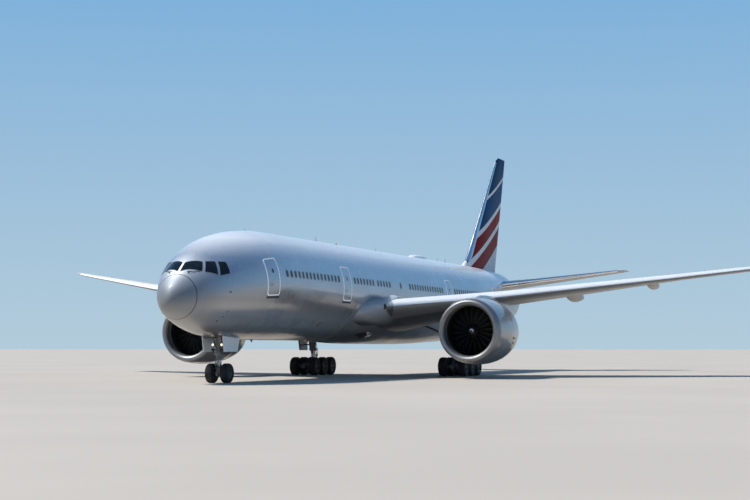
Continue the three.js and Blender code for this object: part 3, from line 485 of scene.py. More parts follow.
silverPaint = makeSkinPaint()
# The nacelle's shades paint shade low down and a pale painted lit top.
nacelleLook = {**skinLook, "crownFrom": 2.0, "crownTo": 2.5, "metallicSide": 0.6, "metallicCrown": 0.3,
               "noseFrom": -20.0, "noseTo": -19.0, "frameSeams": 1.15,
               "shades": [(0.55, (0.13, 0.13, 0.135)), (1.1, (0.26, 0.265, 0.275)),
                          (1.9, (0.36, 0.375, 0.40)), (2.45, (0.52, 0.54, 0.57))]}
nacellePaint = makeSkinPaint("nacellePaint", nacelleLook, False)
wingPaint = makeWingPaint()
# The tailplane's paint has no inner painted shade and no body shades at its root.
tailPaint = makeWingPaint("tailPaint", {**wingLook, "innerShade": wingLook["lower"], "root": -1.0})
# The fairing's shades paint a dark shade on the belly, as the body's do.
fairingPaintLook = {
    **skinLook, "crownFrom": 20.0, "crownTo": 21.0, "metallicSide": 0.6, "noseFrom": -20.0, "noseTo": -19.0,
    "coat": 0.3,
    "shades": [(1.3, (0.065, 0.064, 0.063)), (1.6, (0.30, 0.30, 0.30)), (1.9, (0.40, 0.405, 0.415)),
               (2.5, (0.32, 0.33, 0.345))],
}
fairingPaint = makeSkinPaint("fairingPaint", fairingPaintLook)
finPaint = makeFinPaint("finPaint", finLook)
tyreRubber = makeTyre("tyreRubber", tyreLook)
darkGlass = makeGlass("darkGlass", glassLook)
lampLens = makeLamp("lampLens", lampLook)
linerGrey = makeLiner("linerGrey", linerLook)

# Metals: colour, roughness, stretch of the grain
bareMetal = makeBareMetal("bareMetal", (0.86, 0.87, 0.88), 0.18, (1.0, 12.0, 12.0))
# Slats are bright above, with a painted shade on the faces that look down.
slatMetal = makeBareMetal("slatMetal", (0.88, 0.89, 0.90), 0.4, (1.0, 12.0, 12.0), 0.35,
                          (0.22, 0.22, 0.225))
lipMetal = makeBareMetal("lipMetal", (0.27, 0.275, 0.285), 0.48, (10.0, 1.0, 10.0))
# The piston chrome is darkened as painted shade under the body.
shadedChrome = makeBareMetal("pistonChrome", (0.34, 0.35, 0.36), 0.2, (10.0, 10.0, 1.0))
# Blade edges darkened as painted shade deep in the inlet.
bladeEdge = makeBareMetal("bladeEdge", (0.03, 0.03, 0.032), 0.45, (8.0, 8.0, 1.0))
hotMetal = makeBareMetal("hotMetal", (0.40, 0.36, 0.32), 0.34, (10.0, 1.0, 10.0))

# Coatings: clean colour, dirt colour, roughness, metallic, coat, scale and share of dirt, bump, glow
# Gear, bay and wheel paints are darkened well below their pale grey as painted shade under the body.
gearPaint = makeCoated("gearPaint", (0.17, 0.17, 0.168), (0.06, 0.058, 0.055), 0.42, 0.0, 0.2, 3.0, 0.6)
gearGrey = makeCoated("gearGrey", (0.10, 0.102, 0.105), (0.04, 0.039, 0.038), 0.45, 0.2, 0.1, 3.0, 0.6)
wheelPaint = makeCoated("wheelPaint", (0.11, 0.11, 0.108), (0.03, 0.029, 0.028), 0.4, 0.1, 0.15, 5.0, 0.7)
brakeMetal = makeCoated("brakeMetal", (0.10, 0.095, 0.09), (0.03, 0.03, 0.03), 0.55, 0.7, 0.0, 6.0, 0.7)
# Near black: the blades' dark finish with painted shade deep in the engine.
bladeMetal = makeCoated("bladeMetal", (0.006, 0.006, 0.0065), (0.003, 0.003, 0.003), 0.7, 0.6, 0.0, 3.0,
                        0.6)
trimWhite = makeCoated("trimWhite", (0.88, 0.89, 0.91), (0.70, 0.72, 0.74), 0.35, 0.1, 0.3, 2.0, 0.4)
blackTrim = makeCoated("blackTrim", (0.018, 0.018, 0.02), (0.05, 0.048, 0.045), 0.5, 0.0, 0.1, 4.0, 0.4)
wiperBlack = makeCoated("wiperBlack", (0.010, 0.010, 0.011), (0.018, 0.018, 0.018), 0.85, 0.0, 0.0, 4.0,
                        0.4)
sealGrey = makeCoated("sealGrey", (0.24, 0.25, 0.26), (0.12, 0.12, 0.12), 0.55, 0.1, 0.0, 4.0, 0.5)
# This white glows faintly though it is no lamp: painted light.
markWhite = makeCoated("markWhite", (0.90, 0.91, 0.93), (0.78, 0.80, 0.82), 0.35, 0.0, 0.3, 2.0, 0.4, 0.05,
                       0.16)
redLens = makeCoated("redLens", (0.45, 0.02, 0.015), (0.2, 0.01, 0.01), 0.12, 0.0, 0.8, 20.0, 0.5, 0.05)
greenLens = makeCoated("greenLens", (0.02, 0.30, 0.10), (0.01, 0.15, 0.05), 0.12, 0.0, 0.8, 20.0, 0.5, 0.05)
print("finishes made")


# Shapes: each is a list of points and a list of faces

meshBuild = {"sharpAngle": 35, "cutAngle": 30, "weld": 0.000002, "tip": 0.01}


def circle(count):
    return [2 * math.pi * i / count for i in range(count)]


def merged(*parts):
    points, faces = [], []
    for partPoints, partFaces in parts:
        start = len(points)
        points += partPoints
        faces += [[start + i for i in face] for face in partFaces]
    return points, faces


# Faces through rings of points. A ring of one point is a tip, and joined closes the last ring on the first.
def loft(rings, joined=False):
    points = [p for ring in rings for p in ring]
    starts = [sum(len(ring) for ring in rings[:i]) for i in range(len(rings))]
    pairs = [(i, i + 1) for i in range(len(rings) - 1)]
    if joined:
        pairs.append((len(rings) - 1, 0))
    faces = []
    for a, b in pairs:
        lower, upper = len(rings[a]), len(rings[b])
        for i in range(max(lower, upper)):
            j = i + 1
            corners = [starts[a] + i % lower, starts[a] + j % lower, starts[b] + j % upper,
                       starts[b] + i % upper]
            faces.append(list(dict.fromkeys(corners)))
    for k in () if joined else (0, -1):
        if len(rings[k]) > 2:
            faces.append([starts[k] + i for i in range(len(rings[k]))])
    return points, faces


def directions(direction):
    along = Vector(direction).normalized()
    side = along.orthogonal().normalized()
    return along, side, along.cross(side)


# A profile of [along, radius] points turned about a line. A closed one makes a ring with a hollow middle.
def turned(profile, centre, direction=(0, 1, 0), count=64, closed=False):
    along, side, up = directions(direction)
    rings = []
    for distance, radius in profile:
        spot = Vector(centre) + along * distance
        turns = circle(count)
        ring = [spot + side * (radius * math.cos(t)) + up * (radius * math.sin(t)) for t in turns]
        rings.append([spot] if radius < meshBuild["tip"] else ring)
    return loft(rings, joined=closed)


# A round bar with broken edges, its radius changing from one end to the other.
def rod(start, end, radius, endRadius=None, count=24, edge=6):
    start, end = Vector(start), Vector(end)
    last = radius if endRadius is None else endRadius
    length = (end - start).length
    profile = [(0, radius - edge), (edge, radius), (length - edge, last), (length, last - edge)]
    return turned(profile, start, end - start, count)


def tube(path, radius, count=10):
    points = [Vector(p) for p in path]
    rings = []
    side = None
    for i, p in enumerate(points):
        heading = (points[min(i + 1, len(points) - 1)] - points[max(i - 1, 0)]).normalized()
        side = heading.orthogonal() if side is None else side - heading * side.dot(heading)
        side = side.normalized()
        up = heading.cross(side)
        rings.append([p + side * (radius * math.cos(t)) + up * (radius * math.sin(t))
                      for t in circle(count)])
    return loft(rings)


# A plate with broken edges, from its outline and a thickness to one side.
def slab(outline, thickness, edge=5):
    points = [Vector(p) for p in outline]
    middle = sum(points, Vector()) / len(points)
    depth = Vector(thickness)
    rim = depth.normalized() * min(edge, depth.length * 0.3)

    def inset(p):
        return p + (middle - p).normalized() * edge

    return loft([[inset(p) for p in points], [p + rim for p in points], [p + depth - rim for p in points],
                 [inset(p) + depth for p in points]])


# A bar of oblong section between two points, with up giving the way its height runs.
def bar(start, end, width, height, up=(0, 0, 1), edge=8):
    start, end = Vector(start), Vector(end)
    along = (end - start).normalized()
    side = along.cross(Vector(up)).normalized()
    top = side.cross(along)
    w, h = width / 2, height / 2
    corners = [(w, h - edge), (w - edge, h), (edge - w, h), (-w, h - edge), (-w, edge - h), (edge - w, -h),
               (w - edge, -h), (w, edge - h)]
    return loft([[spot + side * a + top * b for a, b in corners] for spot in (start, end)])


def box(low, high):
    corners = [(low[0], low[1]), (high[0], low[1]), (high[0], high[1]), (low[0], high[1])]
    return loft([[Vector((x, y, z)) for x, y in corners] for z in (low[2], high[2])])


def boxIn(place, u, v, w):
    points, faces = box((u[0], v[0], w[0]), (u[1], v[1], w[1]))
    return [place @ p for p in points], faces


def roundedLoop(centre, size, radius, steps=5):
    loop = []
    for k, (sx, sy) in enumerate(((1, 1), (-1, 1), (-1, -1), (1, -1))):
        corner = (centre[0] + sx * (size[0] / 2 - radius), centre[1] + sy * (size[1] / 2 - radius))
        for i in range(steps + 1):
            turn = math.pi / 2 * (k + i / steps)
            loop.append((corner[0] + radius * math.cos(turn), corner[1] + radius * math.sin(turn)))
    return loop


# A curve through points, with steps places between each two.
def smoothLine(points, steps=6):
    line = []
    for i in range(len(points) - 1):
        four = [points[max(i - 1, 0)], points[i], points[i + 1], points[min(i + 2, len(points) - 1)]]
        for k in range(steps):
            t = k / steps
            line.append(tuple(0.5 * (2 * b + (c - a) * t + (2 * a - 5 * b + 4 * c - d) * t * t
                                     + (3 * b - a - 3 * c + d) * t ** 3) for a, b, c, d in zip(*four)))
    line.append(tuple(points[-1]))
    return line


# Which of the places comes at or after one, but never the first.
def placeAfter(places, place):
    return max(1, next((k for k, p in enumerate(places) if p >= place), len(places) - 1))


# A smooth curve through a table's rows, by its first column, that never swings past them.
def curveThrough(table):
    places = [row[0] for row in table]
    columns = [list(column) for column in zip(*table)][1:]
    slopes = []
    for column in columns:
        steps = [(column[i + 1] - column[i]) / (places[i + 1] - places[i]) for i in range(len(places) - 1)]
        inner = [0.0 if a * b <= 0 else 2 * a * b / (a + b) for a, b in zip(steps, steps[1:])]
        slopes.append([steps[0], *inner, steps[-1]])

    def at(place):
        i = placeAfter(places, place)
        width = places[i] - places[i - 1]
        t = (place - places[i - 1]) / width
        row = []
        for column, slope in zip(columns, slopes):
            rise = (2 * t ** 3 - 3 * t * t + 1) * column[i - 1] + (3 * t * t - 2 * t ** 3) * column[i]
            bend = (t ** 3 - 2 * t * t + t) * slope[i - 1] + (t ** 3 - t * t) * slope[i]
            row.append(rise + bend * width)
        return row

    return at


# Pieces

def tidyMesh(mesh):
    work = bmesh.new()
    work.from_mesh(mesh)
    bmesh.ops.remove_doubles(work, verts=work.verts, dist=meshBuild["weld"])
    bmesh.ops.recalc_face_normals(work, faces=work.faces)
    work.to_mesh(mesh)
    work.free()
    smooth(mesh, meshBuild["sharpAngle"])


def smooth(mesh, angle):
    mesh.shade_smooth()
    mesh.set_sharp_from_angle(angle=math.radians(angle))


def newPiece(name, part, material):
    mesh = bpy.data.meshes.new(name)
    points, faces = part
    mesh.from_pydata([toModel(p) for p in points], [], faces)
    tidyMesh(mesh)
    mesh.materials.append(material)
    piece = bpy.data.objects.new(name, mesh)
    scene.collection.objects.link(piece)
    return piece


def finished(piece, body, stands=()):
    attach(piece, body)
    if stands:
        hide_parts(*stands)
    return piece


def fixedPiece(name, part, material, stands=()):
    return finished(newPiece(name, part, material), "airframe", stands)


# A left piece and its mirror image on the right. SIDE in a name stands for left or right.
def finishedPair(piece, name, body, stands=()):
    mesh = piece.data.copy()
    mesh.transform(Matrix.Scale(-1, 4, (1, 0, 0)))
    mesh.flip_normals()
    for item, word in ((piece, "left"), (bpy.data.objects.new(name + "Right", mesh), "right")):
        if word == "right":
            scene.collection.objects.link(item)
        item.name = name.replace("SIDE", word)
        item.data.name = item.name
        finished(item, body.replace("SIDE", word), [s.replace("SIDE", word) for s in stands])


def pairOf(name, part, material, stands=()):
    finishedPair(newPiece(name, part, material), name, "airframe", stands)


# Cutting and joining of closed meshes

# The piece with its modifier's result as its mesh.
def applied(piece, change, angle):
    bpy.context.view_layer.update()
    mesh = bpy.data.meshes.new_from_object(piece.evaluated_get(bpy.context.evaluated_depsgraph_get()))
    piece.modifiers.remove(change)
    old = piece.data
    piece.data = mesh
    bpy.data.meshes.remove(old)
    smooth(mesh, angle)
    return piece


def combined(piece, tool, operation):
    cutter = newPiece("cutter", tool, piece.data.materials[0])
    change = piece.modifiers.new("cut", "BOOLEAN")
    change.object = cutter
    change.operation = operation
    change.solver = "MANIFOLD"
    applied(piece, change, meshBuild["cutAngle"])
    bpy.data.objects.remove(cutter)
    return piece


def shared(piece, tool, name):
    copy = bpy.data.objects.new(name, piece.data.copy())
    scene.collection.objects.link(copy)
    return combined(copy, tool, "INTERSECT")


# The points and faces of a piece, which goes.
def takenApart(piece):
    middle = Vector((0, fullSize["middleStation"], 0))
    part = ([v.co * fullSize["perMetre"] + middle for v in piece.data.vertices],
            [list(face.vertices) for face in piece.data.polygons])
    bpy.data.objects.remove(piece)
    return part


# Geometry nodes: one shape at each point of a mesh, facing out of the skin, and one repeated round a line

def realWith(tree, copies, start, end):
    real = put(tree, "GeometryNodeRealizeInstances", {"Geometry": copies})
    final = put(tree, "GeometryNodeSetMaterial", {"Geometry": real.outputs[0],
                                                  "Material": start.outputs["Finish"]})
    tree.links.new(final.outputs[0], end.inputs[0])
    return tree


def makeRowOnSkin():
    tree, start, end = newTree(
        "rowOnSkin", "Geometry",
        [("Points", "Geometry", None), ("Shape", "Object", None), ("Finish", "Material", None)],
        [("Geometry", "Geometry")])
    facing, heading = [
        put(tree, "GeometryNodeInputNamedAttribute", {"Name": name}, data_type="FLOAT_VECTOR").outputs[0]
        for name in ("facing", "heading")]
    out = put(tree, "FunctionNodeAlignRotationToVector", {"Vector": facing}, axis="Z")
    turn = put(tree, "FunctionNodeAlignRotationToVector", {"Rotation": out.outputs[0], "Vector": heading},
               axis="X", pivot_axis="Z")
    shape = put(tree, "GeometryNodeObjectInfo", {"Object": start.outputs["Shape"]}).outputs["Geometry"]
    values = {"Points": start.outputs["Points"], "Instance": shape, "Rotation": turn.outputs[0]}
    copies = put(tree, "GeometryNodeInstanceOnPoints", values).outputs[0]
    return realWith(tree, copies, start, end)


def makeRoundRow():
    tree, start, end = newTree(
        "roundRow", "Geometry",
        [("Shape", "Geometry", None), ("Count", "Int", 8), ("Centre", "Vector", (0, 0, 0)),
         ("Finish", "Material", None)],
        [("Geometry", "Geometry")])
    single = put(tree, "GeometryNodeGeometryToInstance", {0: start.outputs["Shape"]})
    values = {"Geometry": single.outputs[0], "Amount": start.outputs["Count"]}
    copies = put(tree, "GeometryNodeDuplicateElements", values, domain="INSTANCE")
    step = maths(tree, "DIVIDE", 2 * math.pi, start.outputs["Count"])
    angle = times(tree, copies.outputs["Duplicate Index"], step)
    turn = put(tree, "ShaderNodeVectorMath", {0: (0, 1, 0), "Scale": angle}, operation="SCALE")
    rotation = put(tree, "FunctionNodeEulerToRotation", {0: turn.outputs[0]})
    values = {"Instances": copies.outputs[0], "Rotation": rotation.outputs[0],
              "Pivot Point": start.outputs["Centre"], "Local Space": False}
    return realWith(tree, put(tree, "GeometryNodeRotateInstances", values).outputs[0], start, end)


rowOnSkin = makeRowOnSkin()
roundRow = makeRoundRow()


def grown(piece, tree, values):
    change = piece.modifiers.new(tree.name, "NODES")
    change.node_group = tree
    for socket in tree.interface.items_tree:
        if socket.in_out == "INPUT" and socket.name in values:
            change[socket.identifier] = values[socket.name]
    return applied(piece, change, meshBuild["sharpAngle"])


# Places on a skin as a mesh of points: each is a place, the way it faces and the way its length runs.
def rowOf(name, spots, shape, material):
    mesh = bpy.data.meshes.new(name)
    mesh.from_pydata([toModel(spot[0]) for spot in spots], [], [])
    for label, column in (("facing", 1), ("heading", 2)):
        layer = mesh.attributes.new(label, "FLOAT_VECTOR", "POINT")
        layer.data.foreach_set("vector", [c for spot in spots for c in spot[column]])
    piece = bpy.data.objects.new(name, mesh)
    scene.collection.objects.link(piece)
    mould = bpy.data.objects.new("mould", bpy.data.meshes.new("mould"))
    points, faces = shape
    mould.data.from_pydata([Vector(p) / fullSize["perMetre"] for p in points], [], faces)
    tidyMesh(mould.data)
    scene.collection.objects.link(mould)
    grown(piece, rowOnSkin, {"Shape": mould, "Finish": material})
    bpy.data.objects.remove(mould)
    return piece


# A shape repeated round a line along Y.
def ringOf(name, part, material, count, centre):
    piece = newPiece(name, part, material)
    return grown(piece, roundRow, {"Count": count, "Centre": toModel(centre), "Finish": material})


# Fuselage

# station, half width, top, bottom, height of the widest line
bodyTable = [(0, 0, 4400, 4400, 4400), (90, 310, 4760, 4080, 4410), (400, 740, 5210, 3730, 4450),
             (950, 1160, 5720, 3390, 4550), (1750, 1610, 6400, 3110, 4710), (2500, 1980, 6880, 2920, 4830),
             (3300, 2290, 7340, 2720, 4950), (4300, 2570, 7750, 2550, 5100), (5700, 2850, 8120, 2440, 5270),
             (7400, 3025, 8400, 2380, 5390), (9800, 3100, 8550, 2350, 5450),
             (20200, 3100, 8550, 2350, 5450), (37500, 3100, 8550, 2350, 5450),
             (41200, 3100, 8550, 2350, 5450), (44500, 3050, 8550, 2640, 5560),
             (48000, 2860, 8545, 3350, 5860), (51000, 2600, 8530, 4120, 6180),
             (54500, 2170, 8480, 5030, 6560), (58000, 1570, 8360, 5820, 6900),
             (61000, 880, 8180, 6440, 7200), (62940, 170, 7980, 6860, 7400)]
bodyBuild = {"aroundCount": 96, "ringStep": 1.2, "fewest": 6, "seam": 10, "seamDepth": 9, "radius": 3100}
bodyCurve = curveThrough([(math.sqrt(row[0]), *row[1:]) for row in bodyTable])


def skinPoint(station, turn, more=0.0):
    half, top, bottom, widest = bodyCurve(math.sqrt(max(station, 0.0)))
    reach = (widest - bottom if math.cos(turn) > 0 else top - widest) + more
    return Vector(((half + more) * math.sin(turn), station, widest - reach * math.cos(turn)))


# The turn from straight below of a height on the skin: side is 1 on the left and -1 on the right.
def turnAt(station, height, side=1):
    _, top, bottom, widest = bodyCurve(math.sqrt(station))
    if height >= widest:
        return side * (math.pi - math.acos(min((height - widest) / (top - widest), 1.0)))
    return side * math.acos(min((widest - height) / (widest - bottom), 1.0))


def skinNormal(station, turn):
    along = skinPoint(station + 20, turn) - skinPoint(station - 20, turn)
    around = skinPoint(station, turn + 0.01) - skinPoint(station, turn - 0.01)
    return along.cross(around).normalized()


def onSkin(station, turn, lift):
    return skinPoint(station, turn) + skinNormal(station, turn) * lift


def bodyRing(station, more=0.0):
    if station <= 0:
        return [Vector((0, -more, bodyTable[0][2]))]
    return [skinPoint(station, turn, more) for turn in circle(bodyBuild["aroundCount"])]


def bodyBand(start, end, more=0.0, seams=True):
    low, high = math.sqrt(start), math.sqrt(end)
    count = max(bodyBuild["fewest"], round((high - low) / bodyBuild["ringStep"]))
    stations = [(low + (high - low) * i / count) ** 2 for i in range(count + 1)]
    rings = [bodyRing(s, more) for s in stations]
    if seams:
        edge, depth = bodyBuild["seam"], bodyBuild["seamDepth"]
        if start > 0:
            rings[0:1] = [bodyRing(start, more - depth), bodyRing(start + edge, more)]
        rings[-1:] = [bodyRing(end - edge, more), bodyRing(end, more - depth)]
    return loft(rings)


panelLook = {"frameSink": 12, "sink": 14, "crown": 2.0, "shares": (0.96, 0.75, 0.5, 0.25),
             "longestSide": 130}


# A closed strip between two loops of [station, turn] on the skin.
def skinFrame(outer, inner, lift):
    low = -panelLook["frameSink"]
    rings = [[onSkin(*a, low), onSkin(*a, lift), onSkin(*b, lift), onSkin(*b, low)]
             for a, b in zip(outer, inner)]
    return loft(rings, joined=True)


# A closed panel that follows the skin inside a loop of [station, turn].
def skinPanel(loop, lift):
    middle = [sum(column) / len(loop) for column in zip(*loop)]

    def ring(share, rise):
        return [onSkin(middle[0] + (s - middle[0]) * share, middle[1] + (t - middle[1]) * share, rise)
                for s, t in loop]

    shares = [(1.0, -panelLook["sink"]), (1.0, lift - panelLook["crown"]),
              *((share, lift) for share in panelLook["shares"])]
    return loft([*(ring(*step) for step in shares), [onSkin(*middle, lift)]])


# A loop with more points on its long straight sides, so that it follows a curved skin.
def dense(loop):
    points = []
    for start, end in zip(loop, [*loop[1:], loop[0]]):
        count = max(1, math.ceil(math.dist(start, end) / panelLook["longestSide"]))
        for k in range(count):
            points.append((start[0] + (end[0] - start[0]) * k / count,
                           start[1] + (end[1] - start[1]) * k / count))
    return points


# A rounded oblong on the skin, its size in mm along the body and up it.
def skinLoop(station, height, size, radius, side, steps=5):
    turn = turnAt(station, height, side)
    half, top, _, widest = bodyCurve(math.sqrt(station))
    perTurn = half * math.sin(abs(turn)) ** 2 + (top - widest) * math.cos(turn) ** 2
    loop = dense(roundedLoop((station, 0), size, radius, steps))
    return [(u, turn + side * v / perTurn) for u, v in loop]


def scaledLoop(loop, extra):
    middle = [sum(column) / len(loop) for column in zip(*loop)]
    spans = [max(column) - min(column) for column in zip(*loop)]
    tall = spans[1] * bodyBuild["radius"]
    return [(middle[0] + (s - middle[0]) * (1 + 2 * extra / spans[0]),
             middle[1] + (t - middle[1]) * (1 + 2 * extra / tall)) for s, t in loop]


noseBay = ((-560, 4900, 1500), (560, 7250, 3300))
cargoDoors = [
    {"name": "forwardCargoDoor", "body": "forward_cargo_door", "from": 10900, "to": 13590},
    {"name": "aftCargoDoor", "body": "aft_cargo_door", "from": 42300, "to": 44990},
]
cargoLook = {"low": 2900, "high": 4600, "thickness": 150, "gap": 14, "reach": 4000, "overlap": 300,
             "coreOverlap": 700}
latchLook = {"count": 5, "inset": 350, "from": 2960, "to": 3060, "width": 120, "proud": 16,
             "up": (1, 0, 0.4), "edge": 3}

fixedPiece("radomeSkin", bodyBand(0, 950), silverPaint, ["radome"])
noseSkin = combined(newPiece("noseSkin", bodyBand(952, 8600), silverPaint), box(*noseBay), "DIFFERENCE")
finished(noseSkin, "airframe", ["nose_section"])
fixedPiece("centreSkin", bodyBand(20202, 37500), silverPaint, ["centre_fuselage"])
fixedPiece("tailSkin", bodyBand(51002, 62940), silverPaint, ["tail_cone"])


def cargoTool(door, more):
    low, high = cargoLook["low"] - more, cargoLook["high"] + more
    return box((-cargoLook["reach"], door["from"] - more, low), (0, door["to"] + more, high))


def cargoCore(door, more):
    past = cargoLook["coreOverlap"]
    return bodyBand(door["from"] - past, door["to"] + past, -cargoLook["thickness"] - more, False)


for door, name, node, start, end in ((cargoDoors[0], "forwardSkin", "forward_fuselage", 8602, 20200),
                                     (cargoDoors[1], "aftSkin", "aft_fuselage", 37502, 51000)):
    shell = newPiece(name, bodyBand(start, end), silverPaint)
    plug = combined(newPiece(door["name"] + "Room", cargoTool(door, cargoLook["gap"]), silverPaint),
                    cargoCore(door, cargoLook["gap"]), "DIFFERENCE")
    combined(shell, takenApart(plug), "DIFFERENCE")
    finished(shell, "airframe", [node])
    past = cargoLook["overlap"]
    leaf = newPiece(door["name"], bodyBand(door["from"] - past, door["to"] + past, 0, False), silverPaint)
    combined(leaf, cargoTool(door, 0), "INTERSECT")
    combined(leaf, cargoCore(door, 0), "DIFFERENCE")
    finished(leaf, door["body"], [door["body"]])
    pitch = (door["to"] - door["from"] - 2 * latchLook["inset"]) / (latchLook["count"] - 1)
    for i in range(latchLook["count"]):
        station = door["from"] + latchLook["inset"] + i * pitch
        ends = [onSkin(station, turnAt(station, latchLook[key], -1), 0) for key in ("from", "to")]
        latchBar = bar(*ends, latchLook["width"], latchLook["proud"], latchLook["up"], latchLook["edge"])
        latch = newPiece(f"{door['name']}Latch{i + 1}", latchBar, sealGrey)
        finished(latch, door["body"])
print("fuselage made")

# Flight deck windows: the corners of the left side's panes, as x, station and height, close to the skin
panes = {
    "front": [(70, 1120, 5865), (1080, 1640, 5850), (860, 2110, 6400), (70, 1700, 6380)],
    "quarter": [(1190, 1750, 5845), (1665, 2310, 5710), (1340, 2620, 6430), (960, 2210, 6410)],
    "side": [(1760, 2420, 5690), (2010, 3040, 5800), (1700, 3130, 6425), (1435, 2740, 6430)],
}
paneLook = {"cornerShare": 0.10, "cornerSteps": 4, "sideSteps": 6, "lift": 5, "frameWidth": 26,
            "frameLift": 9}


def paneLoop(corners, side):
    flat = []
    for x, station, height in corners:
        half, top, _, widest = bodyCurve(math.sqrt(station))
        turn = math.pi - math.atan2(x / half, (height - widest) / (top - widest))
        flat.append(Vector((station, side * turn)))
    loop = []
    share = paneLook["cornerShare"]
    for i, corner in enumerate(flat):
        nextCorner = flat[(i + 1) % len(flat)]
        before, after = corner.lerp(flat[i - 1], share), corner.lerp(nextCorner, share)
        for k in range(paneLook["cornerSteps"] + 1):
            t = k / paneLook["cornerSteps"]
            loop.append(tuple(before * (1 - t) ** 2 + corner * 2 * t * (1 - t) + after * t * t))
        for k in range(1, paneLook["sideSteps"]):
            loop.append(tuple(after.lerp(nextCorner.lerp(corner, share), k / paneLook["sideSteps"])))
    return loop


glassParts, frameParts = [], []
for corners in panes.values():
    for side in (1, -1):
        loop = paneLoop(corners, side)
        glassParts.append(skinPanel(loop, paneLook["lift"]))
        frameParts.append(skinFrame(scaledLoop(loop, paneLook["frameWidth"]), loop, paneLook["frameLift"]))
fixedPiece("flightDeckGlass", merged(*glassParts), darkGlass, ["flight_deck_glazing"])
fixedPiece("flightDeckFrames", merged(*frameParts), sealGrey)

# Cabin windows: rows of [first station, last station], the same on both sides
windowLook = {
    "pitch": 533, "height": 6020, "width": 250, "tall": 370, "corner": 118, "rim": 36, "sink": 12,
    "rows": [(8190, 15700), (18250, 21500), (22300, 24450), (26550, 26560), (28400, 35400), (38250, 48300),
             (50900, 52600)],
    # share of the pane's size, and height over the skin
    "paneLayers": [(1.0, -12), (1.0, 1), (0.6, 2.5)], "paneTop": 3,
    "rimLayers": [(1.0, -12), (1.0, 2), (0.97, 5)],
}


def windowSpots():
    spots = []
    for first, last in windowLook["rows"]:
        for i in range(int((last - first) / windowLook["pitch"]) + 1):
            station = first + i * windowLook["pitch"]
            for side in (1, -1):
                turn = turnAt(station, windowLook["height"], side)
                heading = (skinPoint(station + 50, turn) - skinPoint(station - 50, turn)).normalized()
                spots.append((onSkin(station, turn, 0), skinNormal(station, turn), heading))
    return spots


def windowPane(look):
    loop = roundedLoop((0, 0), (look["width"], look["tall"]), look["corner"])
    rings = [[Vector((u * share, v * share, rise)) for u, v in loop] for share, rise in look["paneLayers"]]
    return loft([*rings, [Vector((0, 0, look["paneTop"]))]])


def windowRim(look):
    outer, inner = [
        roundedLoop((0, 0), (look["width"] + 2 * more, look["tall"] + 2 * more), look["corner"] + more)
        for more in (look["rim"], 0)]
    layers = look["rimLayers"]
    rings = []
    for (a, b), (c, d) in zip(outer, inner):
        ring = [Vector((a * share, b * share, rise)) for share, rise in layers]
        rings.append([*ring, Vector((c, d, layers[-1][1])), Vector((c, d, layers[0][1]))])
    return loft(rings, joined=True)


finished(rowOf("cabinPanes", windowSpots(), windowPane(windowLook), darkGlass), "airframe")
finished(rowOf("cabinRims", windowSpots(), windowRim(windowLook), sealGrey), "airframe")

# Passenger doors: an outline, a small window and a handle, on both sides
doorLook = {"stations": (6570, 17000, 37000, 49600), "height": 5800, "size": (1170, 1980), "corner": 170,
            "seam": 10, "lift": 3, "surround": 62, "surroundLift": 6, "window": (170, 250),
            "windowHeight": 6100, "windowCorner": 80, "windowLift": 5, "rim": 26, "rimLift": 8,
            "sill": (1290, 130), "sillHeight": 4668, "sillCorner": 20, "sillLift": 16, "handleAhead": 250,
            "handleHeight": 5350, "recess": (330, 110), "recessCorner": 30, "recessSeam": 12,
            "handle": (250, 34), "handleCorner": 15, "handleLift": 6}
seamParts, handleParts, doorGlass, doorRims, surrounds, sills = [], [], [], [], [], []


def doorDetails(look, station, side):
    loop = skinLoop(station, look["height"], look["size"], look["corner"], side, 8)
    rim = scaledLoop(loop, look["seam"])
    seamParts.append(skinFrame(rim, loop, look["lift"]))
    surrounds.append(skinFrame(scaledLoop(rim, look["surround"]), rim, look["surroundLift"]))
    sill = skinLoop(station, look["sillHeight"], look["sill"], look["sillCorner"], side)
    sills.append(skinPanel(sill, look["sillLift"]))
    pane = skinLoop(station, look["windowHeight"], look["window"], look["windowCorner"], side)
    doorGlass.append(skinPanel(pane, look["windowLift"]))
    doorRims.append(skinFrame(scaledLoop(pane, look["rim"]), pane, look["rimLift"]))
    place = station - look["handleAhead"], look["handleHeight"]
    recess = skinLoop(*place, look["recess"], look["recessCorner"], side)
    handleParts.append(skinFrame(scaledLoop(recess, look["recessSeam"]), recess, look["lift"]))
    handle = skinLoop(*place, look["handle"], look["handleCorner"], side)
    handleParts.append(skinPanel(handle, look["handleLift"]))


for station in doorLook["stations"]:
    for side in (1, -1):
        doorDetails(doorLook, station, side)
fixedPiece("doorSeams", merged(*seamParts, *handleParts), sealGrey)
# The door surrounds glow faintly as painted light.
fixedPiece("doorSurrounds", merged(*surrounds), markWhite)
fixedPiece("doorSills", merged(*sills), blackTrim)
fixedPiece("doorGlass", merged(*doorGlass), darkGlass)
fixedPiece("doorRims", merged(*doorRims), silverPaint)

# Two slanted drain slots low on each side, drawn as black panels: painted shade in the slots
slotLook = {"spots": [(14340, 3260), (14530, 3380)], "size": (70, 190), "corner": 30, "lift": 5}
slots = [skinPanel(skinLoop(*spot, slotLook["size"], slotLook["corner"], side), slotLook["lift"])
         for spot in slotLook["spots"] for side in (1, -1)]
fixedPiece("drainSlots", merged(*slots), blackTrim)

